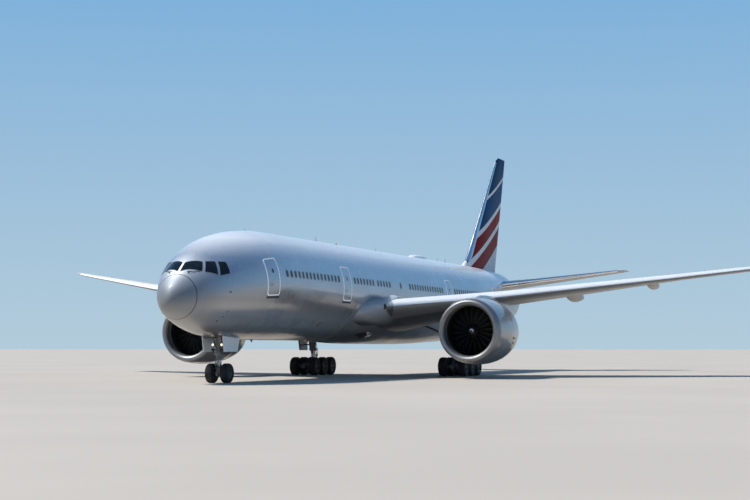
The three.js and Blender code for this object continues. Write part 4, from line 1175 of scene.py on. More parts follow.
# Service hatches and access panels, each [station, height, width, tall, side], with a seam round it
hatches = [(4150, 3150, 420, 300, 1), (4150, 3150, 420, 300, -1), (8050, 3300, 600, 420, 1),
           (9300, 3000, 480, 480, 1), (15600, 3200, 700, 560, 1), (47100, 4100, 900, 800, -1),
           (40100, 3250, 560, 420, 1), (53600, 6050, 620, 420, 1), (53600, 6050, 620, 420, -1),
           (58600, 6500, 900, 360, 1), (58600, 6500, 900, 360, -1), (12300, 2900, 380, 300, 1)]
hatchLook = {"corner": 40, "seam": 9, "lift": 2}
hatchParts = []
for station, height, wide, tall, side in hatches:
    loop = skinLoop(station, height, (wide, tall), hatchLook["corner"], side)
    hatchParts.append(skinFrame(scaledLoop(loop, hatchLook["seam"]), loop, hatchLook["lift"]))
fixedPiece("hatchSeams", merged(*hatchParts), sealGrey)

# Wing to body fairing
fairingTable = [
    # station, how far it stands out below, and at its upper edges
    (18600, 25, 25), (19600, 70, 50), (21200, 130, 100), (24000, 170, 140), (32500, 180, 140),
    (35500, 140, 110), (37800, 80, 60), (39600, 25, 25),
]
fairingLook = {"halfArc": math.radians(78.75), "around": 56, "rings": 64, "radius": 3100, "centre": 5450,
               "sink": 6, "fade": 0.86, "least": 4}
fairingStand = curveThrough(fairingTable)


def fairingRise(look, station, turn):
    keel, edge = fairingStand(station)
    share = abs(turn) / look["halfArc"]
    fade = min(1.0, (1.0 - share) / (1.0 - look["fade"]))
    return (keel + (edge - keel) * share) * fade * (2 - fade) + look["least"]


def fairingShape(look):
    rings = []
    first, last = fairingTable[0][0], fairingTable[-1][0]
    for k in range(look["rings"] + 1):
        station = first + (last - first) * k / look["rings"]
        outer, inner = [], []
        for i in range(look["around"] + 1):
            turn = (2 * i / look["around"] - 1) * look["halfArc"]
            rise = fairingRise(look, station, turn)
            for row, radius in ((outer, look["radius"] + rise), (inner, look["radius"] - look["sink"])):
                height = look["centre"] - radius * math.cos(turn)
                row.append(Vector((radius * math.sin(turn), station, height)))
        rings.append([*outer, *reversed(inner)])
    return loft(rings)


fixedPiece("bellyFairingSkin", fairingShape(fairingLook), fairingPaint, ["belly_fairing"])

# Sealed joint behind the radome
radomeJoint = {"station": 951, "half": 19, "proud": 2, "sink": 8}
proud, sunk = radomeJoint["proud"], -radomeJoint["sink"]
jointRings = [bodyRing(radomeJoint["station"] + side * radomeJoint["half"], lift)
              for side, lift in ((-1, proud), (1, proud), (1, sunk), (-1, sunk))]
fixedPiece("radomeJoint", loft(jointRings, joined=True), blackTrim)

# Ram air scoops low on the front of the fairing: each mouth looks forward and its hood sinks into the skin
scoopLook = {"station": 22800, "height": 2870, "length": 1500, "width": 640, "rise": 190, "steps": 14,
             "across": 16, "wall": 22, "taper": 0.4, "fall": 1.4, "sink": 20, "mouth": (0.03, 0.05)}


def scoopArch(look, share, more):
    turn = turnAt(look["station"], look["height"])
    half = look["width"] / 2 * (1 - look["taper"] * share) / fairingLook["radius"]
    station = look["station"] + look["length"] * share
    stand = fairingStand(station)[0]
    rise = look["rise"] * (1 - share) ** look["fall"] - more
    arch = []
    for i in range(look["across"] + 1):
        place = 2 * i / look["across"] - 1
        height = stand + rise * (1 - abs(place) ** 3) - look["sink"] * abs(place) ** 3
        arch.append(onSkin(station, turn + half * place * (1 - more / look["width"]), height))
    return arch


def scoopHood(look):
    rings = []
    for k in range(look["steps"] + 1):
        share = k / look["steps"]
        rings.append([*scoopArch(look, share, 0), *reversed(scoopArch(look, share, look["wall"]))])
    return loft(rings)


# The mouth is a black sheet across the opening: painted shade in place of the duct behind it.
def scoopMouth(look):
    rings = []
    turn = turnAt(look["station"], look["height"])
    half = look["width"] / 2 / fairingLook["radius"]
    for share in look["mouth"]:
        arch = scoopArch(look, share, look["wall"] * 0.5)
        station = look["station"] + look["length"] * share
        foot = [onSkin(station, turn + half * (1 - 2 * i / look["across"]), 0)
                for i in range(look["across"] + 1)]
        rings.append([*arch, *foot])
    return loft(rings)


# The dark ramp ahead of the mouth widens aft, flush with the fairing.
rampLook = {"from": 21400, "to": 22860, "narrow": 40, "wide": 560, "widening": 0.7, "steps": 10,
            "across": 8, "proud": 5, "sink": 20}


def scoopRamp(look):
    turn = turnAt(scoopLook["station"], scoopLook["height"])
    rings = []
    for k in range(look["steps"] + 1):
        share = k / look["steps"]
        station = look["from"] + (look["to"] - look["from"]) * share
        width = look["narrow"] + (look["wide"] - look["narrow"]) * share ** look["widening"]
        half = width / 2 / fairingLook["radius"]
        turns = [turn + half * (2 * i / look["across"] - 1) for i in range(look["across"] + 1)]
        rises = [fairingRise(fairingLook, station, t) for t in turns]
        upper = [onSkin(station, t, rise + look["proud"]) for t, rise in zip(turns, rises)]
        lower = [onSkin(station, t, rise - look["sink"]) for t, rise in zip(turns, rises)]
        rings.append([*upper, *reversed(lower)])
    return loft(rings)


pairOf("ramAirRamp_SIDE", scoopRamp(rampLook), blackTrim)
pairOf("ramAirHood_SIDE", scoopHood(scoopLook), fairingPaint)
pairOf("ramAirMouth_SIDE", scoopMouth(scoopLook), blackTrim)
print("windows, doors and fairing made")

# Blade aerials as [station, turn from straight below in degrees, length, rise]
aerials = [(8900, 180, 200, 150), (19200, 180, 420, 330), (29800, 180, 380, 280), (43250, 180, 420, 330),
           (45200, 180, 420, 330), (9900, 0, 300, 110), (16800, 0, 420, 240), (44600, 0, 360, 260)]
aerialLook = {
    "around": 16, "halfThickness": 24, "tailShare": 0.75, "rake": 0.28,
    # share of the rise, of the length and of the thickness
    "layers": [(-0.1, 1.15, 1.5), (0.0, 1.05, 1.3), (0.12, 0.92, 1.0), (0.6, 0.72, 0.7), (0.94, 0.5, 0.4),
               (1.0, 0.38, 0.15)],
}


def aerial(look, station, degrees, length, rise):
    turn = math.radians(degrees)
    base, out = skinPoint(station, turn), skinNormal(station, turn)
    rings = []
    for share, chord, thick in look["layers"]:
        ring = []
        for angle in circle(look["around"]):
            along = length * chord * 0.5 * math.cos(angle) + length * look["rake"] * max(share, 0)
            slimmer = 1.0 if math.cos(angle) < 0 else look["tailShare"]
            across = look["halfThickness"] * thick * math.sin(angle) * slimmer
            ring.append(base + Vector((across, along, 0)) + out * (rise * share))
        rings.append(ring)
    return loft(rings)


fixedPiece("bladeAerials", merged(*(aerial(aerialLook, *row) for row in aerials)), silverPaint)

# Domes on the skin: layers are share of the rise and of the size, and a dome is [station, turn, length,
# width, rise, points around]
blisterLook = {
    "layers": [(-0.05, 1.0), (0.0, 1.0), (0.35, 0.93), (0.7, 0.74), (0.92, 0.4), (1.0, 0.0)],
    "satellite": (38570, math.pi, 3300, 1100, 260, 28),
    "beacons": [(22600, math.pi, 190, 190, 110, 20), (17900, 0.0, 190, 190, 110, 20)],
}


def blister(station, turn, length, width, rise, count):
    rings = []
    for share, size in blisterLook["layers"]:
        ring = []
        for angle in circle(count):
            along = station + length / 2 * size * math.cos(angle)
            around = turn + width / 2 * size * math.sin(angle) / bodyBuild["radius"]
            ring.append(onSkin(along, around, rise * share))
        rings.append(ring if size else [onSkin(station, turn, rise)])
    return loft(rings)


fixedPiece("satelliteDome", blister(*blisterLook["satellite"]), silverPaint)
beacons = [blister(*row) for row in blisterLook["beacons"]]
fixedPiece("beacons", merged(*beacons), redLens)

# Probes and a port on the nose as [station, height], and the dark ring at the foot of each. Round parts are
# radius, end radius, points around, edge.
probeLook = {
    "probes": [(2890, 4830), (3070, 3790), (2980, 3530)], "ports": [(2820, 3320)], "sink": 4, "stand": 110,
    "tail": 24, "reach": 180, "portRing": [(0, 20), (0, 58), (9, 54), (9, 24)], "stem": (26, 16, 12, 3),
    "tube": (14, 8, 12, 2), "foot": (62, 56, 20, 2), "footRise": 8, "plug": (19, 17, 12, 2), "plugRise": 9,
}
probes, ports = [], []


def footAt(look, station, height, side):
    turn = turnAt(station, height, side)
    return onSkin(station, turn, -look["sink"]), skinNormal(station, turn)


for side in (1, -1):
    for station, height in probeLook["probes"]:
        foot, out = footAt(probeLook, station, height, side)
        elbow = foot + out * probeLook["stand"]
        tail, tip = Vector((0, probeLook["tail"], 0)), Vector((0, -probeLook["reach"], 0))
        probes += [rod(foot, elbow, *probeLook["stem"]), rod(elbow + tail, elbow + tip, *probeLook["tube"])]
        ports.append(rod(foot, foot + out * probeLook["footRise"], *probeLook["foot"]))
    for station, height in probeLook["ports"]:
        foot, out = footAt(probeLook, station, height, side)
        ports.append(turned(probeLook["portRing"], foot, out, 20, True))
        probes.append(rod(foot, foot + out * probeLook["plugRise"], *probeLook["plug"]))
fixedPiece("probes", merged(*probes), bareMetal)
fixedPiece("probeFeet", merged(*ports), blackTrim)


# A parked wiper lies along the foot of each front pane: places are station, height, height over the skin.
wiperLook = {"pivot": (1160, 5790, 16), "elbow": (1290, 5838, 42), "tip": (1420, 5868, 22),
             "blade": ((1200, 5862, 14), (1560, 5872.8, 14)), "hub": 34, "pin": (34, 26, 14, 4),
             "foot": (0, -14, 14), "arm": (12, 8), "strip": (20, 36, (0, -0.6, 0.8), 4)}


def wiper(look, side):
    def spot(station, height, lift):
        return onSkin(station, turnAt(station, height, side), lift)

    pivot = spot(*look["pivot"])
    top = spot(*look["pivot"][:2], look["pivot"][2] + look["hub"])
    arm = [pivot + Vector(look["foot"]), spot(*look["elbow"]), spot(*look["tip"])]
    ends = [spot(*end) for end in look["blade"]]
    return merged(rod(pivot, top, *look["pin"]), tube(arm, *look["arm"]), bar(*ends, *look["strip"]))


fixedPiece("wipers", merged(wiper(wiperLook, 1), wiper(wiperLook, -1)), wiperBlack)


# Lifting surfaces: each row is span, leading edge station, chord, height, thickness ratio, twist in degrees
# and, for the wing, how far the middle of the section arches up as a share of the chord
wing = {
    "upright": False,
    "table": [
        (2500, 20480, 14200, 4380, 0.118, 0.6, -0.037), (3100, 20900, 13700, 4440, 0.116, 0.5, -0.037),
        (9000, 24995, 9952, 5056, 0.095, -1.23, -0.009), (9900, 25620, 9380, 5150, 0.092, -1.4, -0.006),
        (20000, 32630, 5560, 6520, 0.08, -2.4, 0.01), (28400, 38470, 2680, 7730, 0.085, -1.5, 0.01),
        (30050, 39900, 1950, 8000, 0.08, -1.5, 0.01), (30465, 40700, 1230, 8070, 0.05, -1.5, 0.01),
    ],
}
fin = {
    "upright": True,
    "table": [
        (7700, 48700, 10300, 0, 0.09, 0.0), (8560, 49850, 9100, 0, 0.1, 0.0),
        (9400, 51100, 8110, 0, 0.105, 0.0), (18050, 59200, 2830, 0, 0.1, 0.0),
        (18500, 59900, 2250, 0, 0.04, 0.0),
    ],
}
stabiliser = {
    "upright": False,
    "table": [
        (600, 52700, 7700, 6950, 0.1, 0.0), (1500, 53500, 7150, 7080, 0.1, 0.0),
        (10350, 60950, 2700, 8480, 0.09, 0.0), (10760, 61650, 2080, 8545, 0.04, 0.0),
    ],
}
surfaceBuild = {"chordCount": 30, "spanStep": 1500, "bluntEdge": 0.0022, "rearLoading": 0.006,
                "clearance": 14, "lip": 0.36, "thicknessCurve": (-0.126, -0.3516, 0.2843, -0.1036)}
# Sizes of the boxes that cut the moving parts out, well past the skin
cutReach = {"aft": 5000, "flap": 6000, "up": 5000, "flapUp": 3000, "spoilerAft": 2500, "spoilerUp": 200,
            "openingUp": 400}
aft = Vector((0, 1, 0))


def halfThickness(share, ratio):
    curve = 0.2969 * math.sqrt(share)
    curve += sum(value * share ** (power + 1) for power, value in enumerate(surfaceBuild["thicknessCurve"]))
    return 5 * ratio * curve + surfaceBuild["bluntEdge"] * share


def rowAt(table, span):
    i = placeAfter([row[0] for row in table], span)
    share = (span - table[i - 1][0]) / (table[i][0] - table[i - 1][0])
    return [low + (high - low) * share for low, high in zip(table[i - 1], table[i])]


# A point of one row: side is 1 on the upper skin, -1 on the lower and 0 in between
def rowPoint(surface, row, share, side):
    span, lead, chord, height, ratio, twist, *bow = row
    camber = 0.0
    if bow:
        camber = bow[0] * math.sin(math.pi * share)
        camber += surfaceBuild["rearLoading"] * math.sin(2 * math.pi * share)
    up = camber * chord + side * halfThickness(share, ratio) * chord
    turn = math.radians(twist)
    along = lead + share * chord * math.cos(turn) + up * math.sin(turn)
    rise = height - share * chord * math.sin(turn) + up * math.cos(turn)
    return Vector((rise, along, span)) if surface["upright"] else Vector((span, along, rise))


# A surface is straight from one row to the next.
def surfacePoint(surface, span, share, side):
    table = surface["table"]
    after = placeAfter([row[0] for row in table], span)
    low, high = table[after - 1], table[after]
    between = (span - low[0]) / (high[0] - low[0])
    return rowPoint(surface, low, share, side).lerp(rowPoint(surface, high, share, side), between)


def sectionLine(surface, span, shares):
    upper = [surfacePoint(surface, span, s, 1) for s in reversed(shares)]
    return upper + [surfacePoint(surface, span, s, -1) for s in shares[1:]]


def surfaceShape(surface):
    count = surfaceBuild["chordCount"]
    shares = [(1 - math.cos(math.pi * i / count)) / 2 for i in range(count + 1)]
    table = surface["table"]
    spans = []
    for low, high in zip(table, table[1:]):
        steps = max(1, round((high[0] - low[0]) / surfaceBuild["spanStep"]))
        spans += [low[0] + (high[0] - low[0]) * k / steps for k in range(steps)]
    spans.append(table[-1][0])
    return loft([sectionLine(surface, span, shares) for span in spans])


def hingePlace(start, end, backwards):
    u = (end - start).normalized()
    v = (backwards - u * backwards.dot(u)).normalized()
    w = u.cross(v)
    place = Matrix((u, v, w)).transposed().to_4x4()
    place.translation = start
    return place


def controlTools(surface, start, end, share):
    first, last = surfacePoint(surface, start, share, 0), surfacePoint(surface, end, share, 0)
    rows = [rowAt(surface["table"], span) for span in (start, end)]
    radii = [halfThickness(share, row[4]) * row[2] for row in rows]
    place = hingePlace(first, last, aft)
    length, axis, gap = (last - first).length, (last - first).normalized(), surfaceBuild["clearance"]
    back, tall = cutReach["aft"], (-cutReach["up"], cutReach["up"])

    def nose(more):
        return rod(first - axis * more, last + axis * more, radii[0] + more, radii[1] + more, 40, 1)

    return ([boxIn(place, (0, length), (0, back), tall), nose(0)],
            [boxIn(place, (-gap, length + gap), (-surfaceBuild["lip"] * max(radii), back), tall),
             nose(gap)])


def flapTools(surface, start, end, shareStart, shareEnd):
    first, last = surfacePoint(surface, start, shareStart, 0), surfacePoint(surface, end, shareEnd, 0)
    place = hingePlace(first, last, aft)
    length, gap = (last - first).length, surfaceBuild["clearance"]
    back, tall = cutReach["flap"], (-cutReach["flapUp"], cutReach["flapUp"])
    opening = boxIn(place, (-gap, length + gap), (-gap, back), tall)
    return [boxIn(place, (0, length), (0, back), tall)], [opening]


def spoilerTools(surface, start, end, shareStart, shareEnd, thickness):
    first, last = surfacePoint(surface, start, shareStart, 1), surfacePoint(surface, end, shareEnd, 1)
    middle, share = (start + end) / 2, (shareStart + shareEnd) / 2
    along = surfacePoint(surface, middle, share + 0.1, 1) - surfacePoint(surface, middle, share, 1)
    place = hingePlace(first, last, along)
    length, gap, back = (last - first).length, surfaceBuild["clearance"], cutReach["spoilerAft"]
    leaf = boxIn(place, (0, length), (0, back), (-thickness, cutReach["spoilerUp"]))
    opening = boxIn(place, (-gap, length + gap), (-gap, back), (-thickness - gap, cutReach["openingUp"]))
    return [leaf], [opening]


def splitOff(fixed, tools, name):
    moving, opening = tools
    piece = shared(fixed, moving[0], name)
    for tool in moving[1:]:
        combined(piece, takenApart(shared(fixed, tool, "other")), "UNION")
    for tool in opening:
        combined(fixed, tool, "DIFFERENCE")
    return piece


# Flap track fairings: each is span, radius
podLook = {"pods": [(7300, 320), (13000, 330), (18000, 280)], "around": 24, "steps": 6, "past": 900,
           "sag": 60, "from": 0.5, "under": 0.72, "rise": 40, "tall": 1.25,
           "shape": [(0.0, 0.0), (0.02, 0.2), (0.07, 0.5), (0.25, 0.92), (0.5, 1.0), (0.8, 0.62),
                     (0.95, 0.24), (1.0, 0.0)]}


def podShape(span, radius, look):
    row = rowAt(wing["table"], span)
    under = surfacePoint(wing, span, look["under"], -1).z + look["rise"]
    first, last = row[1] + look["from"] * row[2], row[1] + row[2] + look["past"]
    rings = []
    for share, size in smoothLine(look["shape"], look["steps"]):
        middle = Vector((span, first + (last - first) * share, under - look["sag"] * share))
        reach = radius * max(size, 0.0)
        ring = [middle + Vector((reach * math.cos(t), 0, look["tall"] * reach * math.sin(t)))
                for t in circle(look["around"])]
        rings.append(ring if size > meshBuild["tip"] else [middle])
    return loft(rings)


# The fillet that carries the leading edge forward and down into the fuselage
rootFillet = {
    "upright": False,
    "table": [
        (2500, 18700, 8200, 4130, 0.2, 0.0), (3150, 19700, 7600, 4190, 0.22, 0.0),
        (3500, 20600, 6800, 4330, 0.24, 0.0), (3850, 21440, 6000, 4530, 0.25, 0.0),
        (4050, 21900, 5400, 4560, 0.22, 0.0),
    ],
}
filletCurve, filletRows = curveThrough(rootFillet["table"]), 18
filletEnds = rootFillet["table"][0][0], rootFillet["table"][-1][0]
filletSpans = [filletEnds[0] + (filletEnds[1] - filletEnds[0]) * i / filletRows
               for i in range(filletRows + 1)]
rootFillet["table"] = [(span, *filletCurve(span)) for span in filletSpans]

wingPiece = newPiece("wing", surfaceShape(wing), wingPaint)
combined(wingPiece, surfaceShape(rootFillet), "UNION")
for span, radius in podLook["pods"]:
    combined(wingPiece, podShape(span, radius, podLook), "UNION")
# Each device's tools: spans of its ends, shares of the chord where it begins, and a spoiler's thickness
devices = [
    ("inboard_flap", flapTools(wing, 3700, 8600, 0.83, 0.765)),
    ("flaperon", controlTools(wing, 9250, 10750, 0.77)),
    ("outboard_flap", flapTools(wing, 11000, 21900, 0.745, 0.735)),
    ("aileron", controlTools(wing, 22500, 28200, 0.75)),
    ("inboard_spoiler", spoilerTools(wing, 4100, 8300, 0.74, 0.66, 80)),
    ("outboard_spoiler", spoilerTools(wing, 11700, 19800, 0.6, 0.6, 60)),
]
for node, tools in devices:
    words = node.split("_")
    label = words[0] + "".join(word.title() for word in words[1:])
    finishedPair(splitOff(wingPiece, tools, label), label + "_SIDE", node + "_SIDE",
                 [node + "_SIDE"])

# Slats, in one piece with a slit at each joint
slatLook = {"from": 3600, "to": 29300, "share": 0.12, "gap": 3, "slit": 9, "past": 40, "ahead": -3000,
            "tall": (-2500, 2500), "joints": (8100, 9750, 11800, 14800, 17900, 21000, 24100, 27200)}


def slatTools(look):
    start, end = [surfacePoint(wing, look[key], look["share"], 0) for key in ("from", "to")]
    place, length, gap = hingePlace(start, end, aft), (end - start).length, look["gap"]
    return ([boxIn(place, (0, length), (look["ahead"], 0), look["tall"])],
            [boxIn(place, (-gap, length + gap), (look["ahead"], gap), look["tall"])])


def slatSlit(look, span):
    start, end = [surfacePoint(wing, look[key], look["share"], 0) for key in ("from", "to")]
    spot = surfacePoint(wing, span, look["share"], 0)
    place = hingePlace(spot, spot + (end - start).normalized(), aft)
    return boxIn(place, (0, look["slit"]), (look["ahead"], look["past"]), look["tall"])


slats = splitOff(wingPiece, slatTools(slatLook), "slats")
slats.data.materials.clear()
slats.data.materials.append(slatMetal)
for joint in slatLook["joints"]:
    combined(slats, slatSlit(slatLook, joint), "DIFFERENCE")
finishedPair(slats, "slats_SIDE", "airframe", ["slats_SIDE"])
finishedPair(wingPiece, "wing_SIDE", "airframe", ["wing_SIDE"])
print("wings made")

# Tail
finPiece = newPiece("finSkin", surfaceShape(fin), finPaint)
rudderPiece = splitOff(finPiece, controlTools(fin, 9750, 17800, 0.68), "rudderSkin")
finished(rudderPiece, "rudder", ["rudder"])
finished(finPiece, "airframe", ["fin"])
stabiliserPiece = newPiece("stabiliser", surfaceShape(stabiliser), tailPaint)
elevatorPiece = splitOff(stabiliserPiece, controlTools(stabiliser, 2050, 9900, 0.7), "elevator")
finishedPair(elevatorPiece, "elevator_SIDE", "elevator_SIDE", ["elevator_SIDE"])
finishedPair(stabiliserPiece, "stabiliser_SIDE", "airframe", ["stabiliser_SIDE"])


# Bright leading edges of the fin and the tailplane: a thin skin over the first part of the chord
edgeLook = {"lift": 3, "count": 14, "steps": 18, "depth": 0.12}


def edgeSkin(look, surface, first, last, share):
    rings = []
    shares = [share * (i / look["count"]) ** 2 for i in range(look["count"] + 1)]
    for k in range(look["steps"] + 1):
        span = first + (last - first) * k / look["steps"]
        line = sectionLine(surface, span, shares)
        middle = surfacePoint(surface, span, share, 0)
        outer = []
        for i, p in enumerate(line):
            run = (line[min(i + 1, len(line) - 1)] - line[max(i - 1, 0)]).normalized()
            heading = Vector((0, 0, 1)) if surface["upright"] else Vector((1, 0, 0))
            out = run.cross(heading).normalized()
            if out.dot(p - middle) < 0:
                out = -out
            outer.append(p + out * look["lift"])
        rings.append([*outer, *(p + (middle - p) * look["depth"] for p in reversed(line))])
    return loft(rings)


fixedPiece("finEdge", edgeSkin(edgeLook, fin, 9000, 18000, 0.055), bareMetal)
pairOf("stabiliserEdge_SIDE", edgeSkin(edgeLook, stabiliser, 1700, 10300, 0.07), bareMetal)

# Static wicks along the trailing edges, by the spans of each row
wickLook = {"share": 0.995, "profile": [(0, 9), (60, 9), (70, 4), (330, 2)],
            "aileron": (23000, 24300, 25600, 26900, 28000), "elevator": (6200, 7300, 8400, 9500),
            "rudder": (12800, 14200, 15600, 17000)}


def wicks(look, name, surface, spans):
    facing = Vector((1, 0, 0)) if surface["upright"] else Vector((0, 0, 1))
    spots = [(surfacePoint(surface, span, look["share"], 0), facing, aft) for span in spans]
    return rowOf(name, spots, turned(look["profile"], (0, 0, 0), (1, 0, 0), 8), blackTrim)


for word, surface in (("aileron", wing), ("elevator", stabiliser)):
    name = word + "Wicks_SIDE"
    finishedPair(wicks(wickLook, name, surface, wickLook[word]), name, word + "_SIDE")
finished(wicks(wickLook, "rudderWicks", fin, wickLook["rudder"]), "rudder")

# Landing lights in the leading edge beside the fuselage, each a recess with its lens; the recess is black,
# a painted shade in the hollow
landingLook = {"span": 3780, "share": 0.012, "radius": 185, "depth": 90, "facing": (0.35, -1.0, 0.0),
               "lens": [(0.62, 12), (0.4, 24), (0.0, 28)], "rim": [(0.66, 30), (0.93, 30), (1.0, 20)]}


def landingLight(look, part):
    spot = surfacePoint(rootFillet, look["span"], look["share"], 0)
    radius, deep = look["radius"], -look["depth"]
    line = [(along, radius * share) for share, along in look[part]]
    if part == "lens":
        return turned([(deep, 0), (deep, line[0][1]), *line], spot, look["facing"], 32)
    return turned([(deep, line[0][1]), (deep, radius), *reversed(line)], spot, look["facing"], 32, True)


pairOf("landingRecess_SIDE", landingLight(landingLook, "rim"), blackTrim)
pairOf("landingLens_SIDE", landingLight(landingLook, "lens"), darkGlass)

# Wing tip lamps
tipLook = {"span": 29650, "shares": (0.06, 0.16), "around": 20,
           "profile": [(-90, 0), (-80, 30), (-30, 48), (60, 52), (120, 20), (130, 0)]}
for word, lens, side in (("left", redLens, 1), ("right", greenLens, -1)):
    lamp = []
    for share in tipLook["shares"]:
        spot = surfacePoint(wing, tipLook["span"], share, 0)
        spot.x *= side
        lamp.append(turned(tipLook["profile"], spot, (0, 1, 0), tipLook["around"]))
    fixedPiece("tipLamp_" + word, merged(*lamp), lens)
print("tail made")


# Engines, each about a line along Y with the lip at its front
engine = {"x": 9600, "y": 20400, "z": 2950, "around": 96, "edge": 7, "wall": 40, "rings": 24,
          "linerRings": 20}
outerLine = [(60, 1860), (200, 1930), (450, 1985), (1200, 2050), (2100, 2080), (3000, 2060), (4200, 1960),
             (5400, 1730)]
innerLine = [(450, 1530), (1000, 1578), (1900, 1586), (3000, 1640), (4200, 1740), (5400, 1695)]
lipLine = [(450, 1530), (320, 1536), (200, 1560), (60, 1630), (0, 1760), (60, 1860), (200, 1930),
           (450, 1985)]
coreLine = [(1764, 500), (2500, 860), (3600, 1180), (4600, 1240), (5500, 1120), (6700, 760)]
coneLine = [(6330, 478), (6900, 400), (7350, 210), (7700, 0)]
spinnerLine = [(620, 0), (655, 75), (760, 180), (930, 300), (1100, 390), (1250, 445), (1400, 468),
               (1750, 470)]
outerCurve, innerCurve = curveThrough(outerLine), curveThrough(innerLine)
engineSpot = Vector((engine["x"], engine["y"], engine["z"]))


def between(curve, start, end, count):
    places = [start + (end - start) * i / count for i in range(count + 1)]
    return [(place, curve(place)[0]) for place in places]


def aboutEngine(profile):
    return turned(profile, engineSpot, (0, 1, 0), engine["around"], True)


def cowlShell(start, end, wall=engine["wall"]):
    edge = engine["edge"]
    skin = between(outerCurve, start + edge, end - edge, engine["rings"])
    inside = [(along, radius - wall) for along, radius in reversed(skin)]
    front, back = (start, skin[0][1] - edge), (end, skin[-1][1] - edge)
    return aboutEngine([front, *skin, back, (end, inside[0][1]), (start, inside[-1][1])])


def ductLiner(start, end, wall=engine["wall"]):
    skin = between(innerCurve, start, end, engine["linerRings"])
    return aboutEngine([*skin, *((along, radius + wall) for along, radius in reversed(skin))])


# Where each length of the cowl and of its lining begins and ends, aft of the lip
cowlEnds = {"fan": (452, 3000), "sleeve": (3004, 3950), "nozzle": (3956, 5400), "duct": (3004, 5380)}
lipRing = aboutEngine([*smoothLine(lipLine, 7), (450, 1940), (420, 1750), (450, 1560)])
pairOf("inletLip_SIDE", lipRing, lipMetal, stands=["inlet_lip_SIDE"])
pairOf("fanCowl_SIDE", cowlShell(*cowlEnds["fan"]), nacellePaint, stands=["fan_cowl_SIDE"])
pairOf("inletBarrel_SIDE", ductLiner(*cowlEnds["fan"]), linerGrey)
trailingRing = aboutEngine([(5390, 1700), (5395, 1729), (5402, 1729), (5402, 1696)])
reverserCowl = merged(cowlShell(*cowlEnds["sleeve"]), cowlShell(*cowlEnds["nozzle"], 26), trailingRing)
pairOf("reverserCowl_SIDE", reverserCowl, nacellePaint, stands=["reverser_cowl_SIDE"])
pairOf("bypassDuct_SIDE", ductLiner(*cowlEnds["duct"], 12), linerGrey)

coreSkin = [*smoothLine(coreLine, 5), (6690, 700), (6350, 660), (6350, 0)]
pairOf("coreCowl_SIDE", turned([(1764, 0), *coreSkin], engineSpot, (0, 1, 0), 72), hotMetal,
       stands=["engine_core_SIDE"])
pairOf("exhaustCone_SIDE", turned([(6330, 0), *smoothLine(coneLine, 6)], engineSpot, (0, 1, 0), 64),
       hotMetal)

# Guide vanes, their outline as [distance aft of the lip, radius], and behind them a dark sheet across the
# duct, a painted shade
vaneLook = {"count": 8, "outline": [(2100, 600), (2140, 1590), (2470, 1605), (2450, 600)], "thick": 46,
            "edge": 8}
vaneOutline = [engineSpot + Vector((-vaneLook["thick"] / 2, *corner)) for corner in vaneLook["outline"]]
vaneShape = slab(vaneOutline, (vaneLook["thick"], 0, 0), vaneLook["edge"])
guideVanes = ringOf("guideVanes", vaneShape, bladeMetal, vaneLook["count"], engineSpot)
finishedPair(guideVanes, "guideVanes_SIDE", "airframe")
shadeSheet = aboutEngine([(2520, 620), (2520, 1600), (2534, 1600), (2534, 620)])
pairOf("ductScreen_SIDE", shadeSheet, bladeMetal)

# Fan blades: each row is radius, pitch, half chord, thickness, sweep
bladeTable = [(430, 0.62, 195, 52, 0), (700, 0.70, 215, 44, -14), (950, 0.80, 232, 36, -26),
              (1250, 0.89, 238, 26, -12), (1545, 0.98, 222, 17, 34)]
fanLook = {"count": 20, "middle": 1375, "camber": 0.1, "sections": 16, "chordSteps": 9, "edgeTo": -0.86,
           "edgeGrow": 2.0}


def bladeShape(look, last=1.0, grow=0.0):
    curve = curveThrough(bladeTable)
    rings = []
    for radius, _ in between(curve, bladeTable[0][0], bladeTable[-1][0], look["sections"]):
        pitch, half, thick, sweep = curve(radius)
        line = []
        for i in range(look["chordSteps"] + 1):
            share = -1.0 + (last + 1.0) * (1 - math.cos(math.pi * i / look["chordSteps"])) / 2
            bow = look["camber"] * 2 * half * (1 - share * share)
            depth = thick / 2 * math.sqrt(max(1.02 - share * share, 0.0)) + grow
            line.append((share * half + (grow if share >= 1 else -grow if share <= -1 else 0), bow + depth,
                         bow - depth))
        section = [(c, up) for c, up, down in line] + [(c, down) for c, up, down in reversed(line[1:-1])]
        ring = []
        for chord, side in section:
            along = chord * math.cos(pitch) - side * math.sin(pitch)
            across = chord * math.sin(pitch) + side * math.cos(pitch)
            out = math.sqrt(max(radius ** 2 - across ** 2, 0))
            ring.append(engineSpot + Vector((across, look["middle"] + sweep + along, out)))
        rings.append(ring)
    return loft(rings)


def fanPiece(name, part, material, stands=()):
    blades = ringOf(name, part, material, fanLook["count"], engineSpot)
    finishedPair(blades, name + "_SIDE", "fan_SIDE", stands)


# Near-black blades and darkened edges: their dark finish with painted shade.
fanPiece("fanBlades", bladeShape(fanLook), bladeMetal, ["fan_SIDE"])
fanPiece("bladeEdges", bladeShape(fanLook, fanLook["edgeTo"], fanLook["edgeGrow"]), bladeEdge)
for side, word in ((1, "left"), (-1, "right")):
    centre = Vector((side * engine["x"], engine["y"], engine["z"]))
    axis = toModel(centre)
    spinnerPaint = makeSpinner("spinnerPaint_" + word, axis.x, axis.z, spiralLook)
    spinner = turned([*smoothLine(spinnerLine, 5), (1750, 0)], centre, (0, 1, 0), 64)
    finished(newPiece("spinner_" + word, spinner, spinnerPaint), "fan_" + word)


# Things on the cowl, placed by the distance aft of the lip and the turn from straight up, towards the body
def onCowl(along, turn, lift):
    radius = outerCurve(along)[0] + lift
    return engineSpot + Vector((-radius * math.sin(turn), along, radius * math.cos(turn)))


markLook = {"width": 8, "lift": 2, "sink": 6, "radius": 2060}


